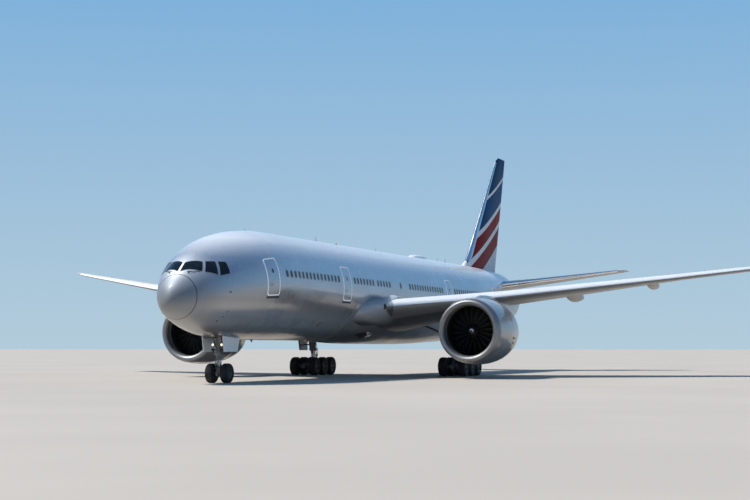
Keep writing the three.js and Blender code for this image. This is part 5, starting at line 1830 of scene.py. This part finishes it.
def cowlFrame(look, along, turn, wide, tall, corner):
    low, high = -look["sink"], look["lift"]
    loops = []
    for grow in (look["width"], 0):
        loop = roundedLoop((0, 0), (wide + 2 * grow, tall + 2 * grow), corner + grow)
        loops.append([(along + u, turn + v / look["radius"]) for u, v in loop])
    rings = [[onCowl(*a, low), onCowl(*a, high), onCowl(*b, high), onCowl(*b, low)] for a, b in zip(*loops)]
    return loft(rings, joined=True)


def cowlOut(along, turn):
    return (onCowl(along, turn, 100) - onCowl(along, turn, 0)).normalized()


def cowlBar(along, turn, half, width, rise):
    out = cowlOut(along - half, turn)
    start, end = [onCowl(along + way * half, turn, 0) + out * (rise / 2 - 4) for way in (-1, 1)]
    return bar(start, end, width, rise + 8, out, 4)


# Distance aft, turn, length, height and corner of each seam round a hatch
cowlMarks = [(1250, 2.3, 420, 300, 40), (1250, -2.3, 420, 300, 40), (2250, 1.9, 300, 300, 140),
             (2300, -1.75, 340, 240, 40), (1550, -1.2, 260, 380, 40), (3550, 2.0, 300, 220, 40),
             (3550, -2.0, 300, 220, 40)]
pairOf("cowlSeams_SIDE", merged(*(cowlFrame(markLook, *mark) for mark in cowlMarks)), sealGrey)

# Bars on the cowl: distances aft, turn, half length, width and rise
cowlBars = [((700, 1150, 1600, 2050, 2500, 2850, 3300, 3700), math.pi - 0.012, 90, 60, 14),
            ((900, 1500, 2100, 2700), 0.16, 60, 90, 12)]
latches = [cowlBar(place, *rest) for places, *rest in cowlBars for place in places]
pairOf("cowlLatches_SIDE", merged(*latches), sealGrey)
strakeOutline = [(900, 0.72, -10), (1150, 0.72, 120), (1750, 0.70, 230), (2150, 0.69, 240),
                 (2260, 0.69, 150), (2280, 0.69, -10)]
strake = slab([onCowl(*corner) for corner in strakeOutline], (14, 0, 16), 4)
pairOf("cowlStrake_SIDE", strake, nacellePaint)

# Round vents and dark marks, each [distance aft, turn]
ventLook = {"round": [(2700, 2.2), (2700, 2.35), (1800, 2.75), (2600, -2.6)], "sink": 20,
            "profile": [(0, 52), (34, 52), (40, 46), (34, 38), (20, 36), (0, 36)],
            "marks": [(3250, -1.78), (3420, -1.94), (3640, -2.18)], "mark": (190, 110, 16)}
vents = [turned(ventLook["profile"], onCowl(*spot, -ventLook["sink"]), cowlOut(*spot), 28, True)
         for spot in ventLook["round"]]
vents += [cowlBar(*spot, *ventLook["mark"]) for spot in ventLook["marks"]]
pairOf("cowlVents_SIDE", merged(*vents), blackTrim)

# Pylons
pylonTable = [
    # distance aft of the lip, half width, top and bottom above the ground
    (1900, 90, 5090, 4400), (3200, 210, 5230, 4180), (4900, 270, 5200, 3850), (6700, 280, 5050, 3500),
    (9000, 250, 4950, 3750), (10900, 150, 4980, 4350), (11600, 60, 5000, 4750),
]
pylonLook = {"around": 40, "steps": 36, "squareness": 0.4, "squarenessUp": 0.5}


def squared(value, power):
    return math.copysign(abs(value) ** power, value)


def pylonShape(look):
    curve = curveThrough(pylonTable)
    rings = []
    for along, _ in between(curve, pylonTable[0][0], pylonTable[-1][0], look["steps"]):
        half, top, bottom = curve(along)
        ring = []
        for turn in circle(look["around"]):
            across = half * squared(math.cos(turn), look["squareness"])
            up = (top + bottom) / 2 + (top - bottom) / 2 * squared(math.sin(turn), look["squarenessUp"])
            ring.append(Vector((engine["x"] + across, engine["y"] + along, up)))
        rings.append(ring)
    return loft(rings)


pairOf("pylonSkin_SIDE", pylonShape(pylonLook), nacellePaint, stands=["pylon_SIDE"])
print("engines made")


# Wheels: shares of half the tyre's width, and of its radius
tyreLine = [(-0.80, 0.50), (-0.93, 0.56), (-1.0, 0.68), (-1.0, 0.78), (-0.95, 0.87), (-0.84, 0.945),
            (-0.68, 0.985), (-0.56, 0.996)]
rimLine = [(0.52, 0.0), (0.52, 0.10), (0.44, 0.15), (0.30, 0.19), (0.24, 0.28), (0.30, 0.37), (0.56, 0.425),
           (0.80, 0.455), (0.86, 0.475), (0.86, 0.505), (0.80, 0.515), (-0.80, 0.515), (-0.86, 0.505),
           (-0.86, 0.46), (-0.25, 0.43), (-0.02, 0.30), (-0.02, 0.0)]
# The hub's cap, in shares of half the width and of the axle's radius
hubLine = [(0, 0.9), (0, 0), (0.74, 0), (0.72, 0.5), (0.66, 0.8), (0.5, 0.9)]
wheelLook = {
    "around": 64, "rimAround": 48, "hubAround": 32, "grooves": (-0.45, -0.15, 0.15, 0.45),
    "grooveHalf": 0.035, "grooveDepth": 0.022, "grooveFoot": 0.7, "bead": [(0.7, 0.47), (-0.7, 0.47)],
    # how many, how far from the axle, radius and depth, and their length
    "bolts": (12, 0.335, 0.018, 0.2604), "holes": (8, 0.255, 0.036, 0.1767), "boltLength": 0.06,
}
noseWheel = {"y": 5890, "radius": 535, "width": 430, "track": 910, "axle": 80}
mainWheel = {"x": 5485, "y": 31780, "radius": 635, "width": 510, "track": 1400, "axle": 125, "step": 1450}


def scaled(line, along, out):
    return [(a * along, r * out) for a, r in line]


def tyreProfile(size):
    shoulder = smoothLine(tyreLine, 4)
    tread = []
    for groove in wheelLook["grooves"]:
        w, d = wheelLook["grooveHalf"], wheelLook["grooveDepth"]
        foot = w * wheelLook["grooveFoot"]
        tread += [(groove - w, 1.0), (groove - foot, 1 - d), (groove + foot, 1 - d), (groove + w, 1.0)]
    far = [(-a, r) for a, r in reversed(shoulder)]
    return scaled([*shoulder, *tread, *far, *wheelLook["bead"]], size["width"] / 2, size["radius"])


def aboutAxle(spot, along, radius, turn):
    return spot + Vector((along, radius * math.cos(turn), radius * math.sin(turn)))


# Short rods in a circle on the wheel's face.
def studs(size, spot, side, count, reach, radius, depth):
    out = Vector((side, 0, 0))
    parts = []
    for i in range(count):
        turn = 2 * math.pi * (i + 0.5) / count
        foot = aboutAxle(spot, side * depth * size["width"] / 2, size["radius"] * reach, turn)
        tip = foot + out * (size["width"] * wheelLook["boltLength"])
        parts.append(rod(foot, tip, size["radius"] * radius, None, 8, 2))
    return parts


def wheelPieces(label, node, size, centre):
    tyres, rims, bolts, holes = [], [], [], []
    half, track = size["width"] / 2, size["track"] / 2
    for side in (1, -1):
        spot, out = Vector(centre) + Vector((side * track, 0, 0)), (side, 0, 0)
        tyres.append(turned(tyreProfile(size), spot, out, wheelLook["around"], True))
        rims.append(turned(scaled(rimLine, half, size["radius"]), spot, out, wheelLook["rimAround"]))
        rims.append(turned(scaled(hubLine, half, size["axle"]), spot, out, wheelLook["hubAround"]))
        bolts += studs(size, spot, side, *wheelLook["bolts"])
        holes += studs(size, spot, side, *wheelLook["holes"])
    rims.append(turned([(-track, size["axle"]), (track, size["axle"])], centre, (1, 0, 0),
                       wheelLook["hubAround"]))
    finished(newPiece(label + "Tyres", merged(*tyres), tyreRubber), node, [node])
    for name, parts, material in (("Rims", rims, wheelPaint), ("Bolts", bolts, brakeMetal),
                                  ("Holes", holes, blackTrim)):
        finished(newPiece(label + name, merged(*parts), material), node)


for side, word in ((1, "left"), (-1, "right")):
    for k, row in enumerate(("front", "middle", "rear")):
        centre = (side * mainWheel["x"], mainWheel["y"] + (k - 1) * mainWheel["step"], mainWheel["radius"])
        wheelPieces(f"main{row.title()}{word.title()}", f"main_wheels_{row}_{word}", mainWheel, centre)
wheelPieces("nose", "nose_wheels", noseWheel, (0, noseWheel["y"], noseWheel["radius"]))


# Parts of a leg from their rows. A rod is [start, end, radius, end radius, count, edge], and a bar is
# [start, end, width, height, way its height runs, edge].
def built(rows, place):
    return [kind(place(*start), place(*end), *rest) for kind, start, end, *rest in rows]


# Main gear: places on the left side are [sideways, aft of the middle axle, height]
axleZ, legFoot = mainWheel["radius"], mainWheel["radius"] + 212
legTop = surfacePoint(wing, mainWheel["x"], 0.78, -1).z + 250


def gear(x, y, z):
    return Vector((mainWheel["x"] + x, mainWheel["y"] + y, z))


# Beam of the bogie: rows of [distance along, half width, half height]
beamTable = [(-1730, 105, 120), (-1650, 165, 175), (-1450, 188, 205), (-1150, 150, 165), (-500, 165, 190),
             (-200, 188, 208), (200, 188, 208), (500, 165, 190), (1150, 150, 165), (1450, 188, 205),
             (1650, 165, 175), (1730, 105, 120)]


def beamShape():
    rings = []
    for along, half, up in smoothLine(beamTable, 3):
        loop = roundedLoop((0, 0), (2 * half, 2 * up), min(half, up) * 0.6)
        rings.append([gear(u, along, axleZ + v) for u, v in loop])
    return loft(rings)


pairOf("bogieBeam_SIDE", beamShape(), gearGrey, stands=["bogie_beam_SIDE"])

# Brakes inside the wheels: a drum with small pistons in a circle, and a rod to the beam
brakeLook = {"inset": 60, "drum": [(-150, 150), (-150, 232), (-128, 250), (20, 250), (20, 150)],
             "around": 40, "pistons": 7, "circle": 195, "back": 150, "long": 46,
             "piston": (32, 28, 12, 4), "rod": (22, None, 10, 3)}
brakeParts, brakeRods = [], []
for k in (-1, 0, 1):
    for side in (1, -1):
        along = k * mainWheel["step"]
        spot = gear(side * (mainWheel["track"] / 2 - brakeLook["inset"]), along, axleZ)
        brakeParts.append(turned(brakeLook["drum"], spot, (side, 0, 0), brakeLook["around"], True))
        for turn in circle(brakeLook["pistons"]):
            foot = aboutAxle(spot, -side * brakeLook["back"], brakeLook["circle"], turn)
            tip = foot - Vector((side * brakeLook["long"], 0, 0))
            brakeParts.append(rod(foot, tip, *brakeLook["piston"]))
        ends = gear(side * 245, along + 60, axleZ - 215), gear(side * 225, along * 0.35, axleZ - 235)
        brakeRods.append(rod(*ends, *brakeLook["rod"]))
pairOf("brakes_SIDE", merged(*brakeParts), brakeMetal)
pairOf("brakeRods_SIDE", merged(*brakeRods), gearPaint)

mainLegRows = [
    (rod, (0, 0, 1700), (250, -250, legTop), 232, 278, 40, 14),
    (rod, (0, 0, 1740), (0, 0, 1900), 288, None, 40, 18),
    (rod, (18, -18, 2080), (34, -34, 2260), 262, None, 40, 14),
    (rod, (96, -96, 2900), (118, -118, 3120), 276, None, 40, 14),
    (rod, (0, 0, legFoot), (0, 0, legFoot + 250), 178, 150, 36, 20),
    (bar, (-205, 0, legFoot + 40), (205, 0, legFoot + 40), 230, 240, (0, 0, 1), 40),
    (rod, (-236, 0, axleZ + 30), (-190, 0, axleZ + 30), 96, None, 28, 8),
    (rod, (190, 0, axleZ + 30), (236, 0, axleZ + 30), 96, None, 28, 8),
    (bar, (60, 0, 2300), (-1330, 50, 2920), 150, 110, (0, 1, 0), 14),
    (bar, (-1330, 50, 2920), (-2700, 100, 3500), 130, 100, (0, 1, 0), 14),
    (rod, (-1330, -70, 2920), (-1330, 170, 2920), 88, None, 24, 8),
    (bar, (60, -40, 2250), (130, -1170, 3125), 140, 110, (1, 0, 0), 14),
    (bar, (130, -1170, 3125), (200, -2300, 4000), 130, 100, (1, 0, 0), 14),
    (rod, (30, -1170, 3125), (230, -1170, 3125), 86, None, 24, 8),
    (rod, (-1330, 50, 2920), (-500, 60, 4000), 46, None, 16, 5),
    (rod, (130, -1170, 3125), (260, -420, 4300), 46, None, 16, 5),
    *((bar, (out * 34, 560, 1400), (out * 120, *high), 46, 62, (0, 1, 1), 8)
      for high in ((200, 1780), (150, 1020)) for out in (-1, 1)),
    (rod, (-90, 560, 1400), (90, 560, 1400), 44, None, 20, 6),
    (rod, (-160, 190, 1780), (160, 190, 1780), 48, None, 20, 6),
    (rod, (-160, 150, 1020), (160, 150, 1020), 48, None, 20, 6),
]
pistonRows = [
    (rod, (0, 0, legFoot + 200), (0, 0, 1760), 158, None, 40, 4),
    (rod, (-500, 60, 4000), (-250, 64, 4330), 30, None, 14, 4),
    (rod, (0, -260, 1150), (0, -262, 1560), 34, None, 16, 4),
]
jackRows = [
    (rod, (0, -262, 1500), (0, -275, 2050), 62, None, 24, 8),
    (rod, (0, -255, axleZ + 190), (0, -260, 1160), 40, None, 16, 4),
    (bar, (0, -290, 2040), (0, -200, 2100), 110, 90, (0, 0, 1), 14),
]
pairOf("mainLeg_SIDE", merged(*built(mainLegRows, gear)), gearPaint, ["main_gear_leg_SIDE"])
pairOf("mainPiston_SIDE", merged(*built(pistonRows, gear)), shadedChrome)
pairOf("trimJack_SIDE", merged(*built(jackRows, gear)), gearGrey)


# Hoses down the leg and along the beam
def legHose(x, y):
    return [gear(x * 0.7, y, legFoot + 120), gear(x * 1.25, y + 150, legFoot + 420),
            gear(x * 1.35, y + 190, 1650), gear(x * 1.35, y + 40, 1950), gear(x * 1.25 + 40, y - 60, 2500),
            gear(x + 120, y - 120, 3600)]


def beamHose(k):
    return [gear(100 * k, 120 * k, legFoot + 90), gear(210 * k, 420 * k, axleZ + 270),
            gear(235 * k, 900 * k, axleZ + 225), gear(260 * k, 1330 * k, axleZ + 120)]


hoseSpots = [(-170, 90), (-195, 30), (175, 120), (196, 60)]
hoses = [tube(smoothLine(legHose(*spot)), 15, 8) for spot in hoseSpots]
hoses += [tube(smoothLine(beamHose(k)), 14, 8) for k in (-1, 1)]
pairOf("mainHoses_SIDE", merged(*hoses), blackTrim)

doorCorners = [(640, -900, 1750), (640, 500, 1750), (760, 620, 3500), (760, -1100, 3500)]
armRows = [(bar, (200, -250, 2650), (668, -250, 2650), 70, 90, (0, 0, 1), 10),
           (bar, (200, 50, 2150), (655, 50, 2150), 70, 90, (0, 0, 1), 10)]
mainDoor = slab([gear(*corner) for corner in doorCorners], (58, 0, -4), 14)
pairOf("mainGearDoor_SIDE", mainDoor, fairingPaint)
pairOf("doorArms_SIDE", merged(*built(armRows, gear)), gearPaint)

# Jack pads, round discs under the wing and the nose
padLook = {"radius": 108, "wingSpan": 8300, "wingShare": 0.5, "wingLow": -60, "wingHigh": 200,
           "noseY": 8150, "noseLow": 2325, "noseHigh": 2520}


def jackPad(x, y, low, high):
    return rod((x, y, low), (x, y, high), padLook["radius"], None, 32, 6)


jackSpot = surfacePoint(wing, padLook["wingSpan"], padLook["wingShare"], -1)
wingPad = jackPad(jackSpot.x, jackSpot.y, jackSpot.z + padLook["wingLow"], jackSpot.z + padLook["wingHigh"])
pairOf("wingJackPad_SIDE", wingPad, bareMetal)

# Nose gear: places are [sideways, aft of the axle, height]
noseAxleZ, noseSplit = noseWheel["radius"], 1420
noseTop = noseBay[1][2] - 10


def atNose(x, y, z):
    return x, noseWheel["y"] + y, z


upperNoseRows = [
    (rod, (0, 0, noseSplit + 8), (0, 0, noseTop), 188, None, 40, 12),
    (rod, (0, 0, 1500), (0, 0, 1680), 248, None, 40, 16),
    (rod, (0, 0, 1960), (0, 0, 2080), 212, None, 40, 12),
    (rod, (0, 0, 2500), (0, 0, 2640), 216, None, 40, 12),
    (bar, (-330, -105, 1800), (330, -105, 1800), 90, 78, (0, 0, 1), 12),
    (bar, (-395, -920, 3200), (395, -920, 3200), 110, 150, (0, 0, 1), 14),
    (rod, (-520, 0, 3000), (520, 0, 3000), 84, None, 28, 10),
]
for side in (-1, 1):
    upperNoseRows += [
        (bar, (side * 150, 0, 1850), (side * 240, -470, 2525), 76, 96, (1, 0, 0), 12),
        (bar, (side * 240, -470, 2525), (side * 330, -920, 3180), 70, 90, (1, 0, 0), 12),
        (rod, (side * 200, -470, 2525), (side * 290, -470, 2525), 62, None, 20, 6),
    ]
fixedPiece("noseLeg", merged(*built(upperNoseRows, atNose)), gearPaint, ["nose_gear_leg"])

# Lamps on the nose leg, as [x, height, radius]: the upper two are lit
lampShape = {
    "lit": [(-265, 2080, 84), (265, 2080, 84)], "dark": [(-250, 1800, 104), (250, 1800, 104)],
    "body": [(0, 0.45), (40, 0.7), (120, 0.94), (182, 1), (190, 1), (190, 0.9), (176, 0.88), (60, 0.3)],
    "glass": [(150, 0), (150, 0.9), (178, 0.9), (188, 0.6), (192, 0)], "ahead": -110,
    "bracket": (bar, (-330, -100, 2080), (330, -100, 2080), 60, 60, (0, 0, 1), 8),
}


def lampParts(look, part, which):
    return [turned(scaled(look[part], 1, size), atNose(x, look["ahead"], z), (0, -1, 0), 32, part == "body")
            for x, z, size in look[which]]


lampBodies = [*lampParts(lampShape, "body", "dark"), *lampParts(lampShape, "body", "lit"),
              *built([lampShape["bracket"]], atNose)]
fixedPiece("noseLampBodies", merged(*lampBodies), gearGrey)
fixedPiece("noseLamps", merged(*lampParts(lampShape, "glass", "lit")), lampLens)
fixedPiece("turnOffLamps", merged(*lampParts(lampShape, "glass", "dark")), darkGlass)

lowerNoseRows = [
    (rod, (0, 0, noseSplit - 150), (0, 0, noseSplit - 8), 206, None, 40, 12),
    (bar, (-148, 0, noseAxleZ + 20), (148, 0, noseAxleZ + 20), 290, 330, (0, 0, 1), 60),
    (rod, (0, 0, noseAxleZ + 150), (0, 0, noseAxleZ + 320), 150, 132, 36, 14),
    (rod, (-80, -430, 1060), (80, -430, 1060), 40, None, 20, 5),
    (rod, (-120, -175, 1330), (120, -175, 1330), 42, None, 20, 5),
    (rod, (-120, -120, 760), (120, -120, 760), 42, None, 20, 5),
]
linkRows = []
for side in (-1, 1):
    linkRows += [(bar, (side * 100, -175, 1330), (side * 34, -430, 1060), 42, 54, (0, 1, -1), 8),
                 (bar, (side * 34, -430, 1060), (side * 100, -115, 760), 42, 54, (0, 1, 1), 8)]
towCorners = [atNose(x, y, noseAxleZ - 130) for x, y in ((-58, -330), (58, -330), (58, -100), (-58, -100))]
lowerNose = [*built(lowerNoseRows, atNose), slab(towCorners, (0, 0, 98), 6), *built(linkRows, atNose)]
steering = newPiece("noseSteering", merged(*lowerNose), gearPaint)
finished(steering, "nose_gear_steering", ["nose_gear_steering"])
nosePistonRows = [(rod, (0, 0, noseAxleZ + 280), (0, 0, noseSplit - 140), 122, None, 40, 3),
                  (rod, (0, -262, noseAxleZ - 165), (0, -262, noseAxleZ + 6), 24, None, 20, 4)]
nosePiston = newPiece("nosePiston", merged(*built(nosePistonRows, atNose)), shadedChrome)
finished(nosePiston, "nose_gear_steering")
steeringRows = [(rod, (side * 150, -160, 1590), (side * 330, 120, 1590), 52, None, 24, 8)
                for side in (-1, 1)]
fixedPiece("steeringJacks", merged(*built(steeringRows, atNose)), gearGrey)
noseHoseLine = [(120, 170, 1720), (175, 205, 2200), (150, 215, 2700), (120, 210, 3200)]
noseHoses = [tube(smoothLine([atNose(side * x, y, z) for x, y, z in noseHoseLine]), 13, 8)
             for side in (-1, 1)]
fixedPiece("noseHoses", merged(*noseHoses), blackTrim)
noseDoorCorners = [(600, -700, 1700), (600, 950, 1700), (600, 1250, 2560), (600, -900, 2560)]
noseDoor = slab([atNose(*corner) for corner in noseDoorCorners], (38, 0, 0), 10)
pairOf("noseGearDoor_SIDE", noseDoor, trimWhite, ["nose_gear_door_SIDE"])
doorLinks = built([(rod, (610, y, 2350), (470, y, 3000), 20, None, 12, 3) for y in (-500, 300, 900)],
                  atNose)
pairOf("noseDoorLinks_SIDE", merged(*doorLinks), gearPaint)

# Lining of the nose gear bay, with its ribs, in the darkened grey that paints shade in the bay
low, high = noseBay
ribPlaces = range(5150, 7200, 350)
lining = box((low[0] + 2, low[1] + 2, high[2] - 14), (high[0] - 2, high[1] - 2, high[2] - 4))
ribs = [box((low[0] + 4, y, high[2] - 70), (high[0] - 4, y + 40, high[2] - 6)) for y in ribPlaces]
sideRibs = [box((x, y, 2450), (x + 40, y + 40, high[2] - 60)) for y in ribPlaces
            for x in (low[0] + 4, high[0] - 44)]
fixedPiece("noseBayRibs", merged(lining, *ribs, *sideRibs), gearGrey)
nosePad = jackPad(0, padLook["noseY"], padLook["noseLow"], padLook["noseHigh"])
fixedPiece("noseJackPad", nosePad, bareMetal)
print("landing gear made")


# Floor, light and camera
stageLook = {
    "floor": (0.44, 0.395, 0.345), "floorReach": 900, "floorRough": 0.75, "patches": 0.12, "paler": 1.08,
    "patchEdges": (0.4, 0.65), "skyStrength": 0.8,
    "sky": [(0.0, (0.56, 0.75, 0.88)), (0.22, (0.27, 0.55, 0.88)), (0.6, (0.09, 0.22, 0.45))],
    "sunStrength": 5.0, "sunSoftness": math.radians(9), "sunColour": (1.0, 0.965, 0.91),
    "sunTravel": (0.51, 0.19, -0.84), "camera": (38120, -70550, 1910), "yaw": math.radians(-20.81),
    "pitch": math.radians(3.6), "sensor": 36, "lens": 1556 / 750 * 36, "near": 0.5, "far": 3000,
}


def makeFloor(look):
    mesh = bpy.data.meshes.new("floor")
    reach = look["floorReach"]
    corners = [(-reach, -reach, 0), (reach, -reach, 0), (reach, reach, 0), (-reach, reach, 0)]
    mesh.from_pydata(corners, [], [(0, 1, 2, 3)])
    material, tree, shader, place, _ = newMaterial("floorFinish", Roughness=look["floorRough"])
    patches = ranged(tree, noise(tree, place, look["patches"], 5.0), 0.0, 1.0, *look["patchEdges"])
    paler = tuple(c * look["paler"] for c in look["floor"])
    feed(tree, shader, {"Base Color": mixed(tree, patches, look["floor"], paler)})
    mesh.materials.append(material)
    floor = bpy.data.objects.new("floor", mesh)
    scene.collection.objects.link(floor)


def makeLight(look):
    world = bpy.data.worlds.new("sky")
    world.use_nodes = True
    tree = world.node_tree
    heading = put(tree, "ShaderNodeTexCoord").outputs["Generated"]
    up = put(tree, "ShaderNodeSeparateXYZ", {0: heading}).outputs["Z"]
    feed(tree, tree.nodes["Background"], {"Color": byHeight(tree, up, look["sky"]),
                                          "Strength": look["skyStrength"]})
    scene.world = world
    sun = bpy.data.lights.new("softSun", "SUN")
    sun.energy = look["sunStrength"]
    sun.angle = look["sunSoftness"]
    sun.color = look["sunColour"]
    lamp = bpy.data.objects.new("softSun", sun)
    lamp.rotation_euler = Vector(look["sunTravel"]).to_track_quat("-Z", "Y").to_euler()
    scene.collection.objects.link(lamp)


def makeCamera(look):
    yaw, pitch = look["yaw"], look["pitch"]
    data = bpy.data.cameras.new("photoView")
    data.lens = look["lens"]
    data.sensor_width = look["sensor"]
    data.clip_start = look["near"]
    data.clip_end = look["far"]
    camera = bpy.data.objects.new("photoView", data)
    scene.collection.objects.link(camera)
    camera.location = toModel(look["camera"])
    heading = Vector((math.sin(yaw) * math.cos(pitch), math.cos(yaw) * math.cos(pitch), math.sin(pitch)))
    camera.rotation_euler = heading.to_track_quat("-Z", "Y").to_euler()
    scene.camera = camera


makeFloor(stageLook)
makeLight(stageLook)
makeCamera(stageLook)
scene.view_settings.view_transform = "Standard"
print("stage made")
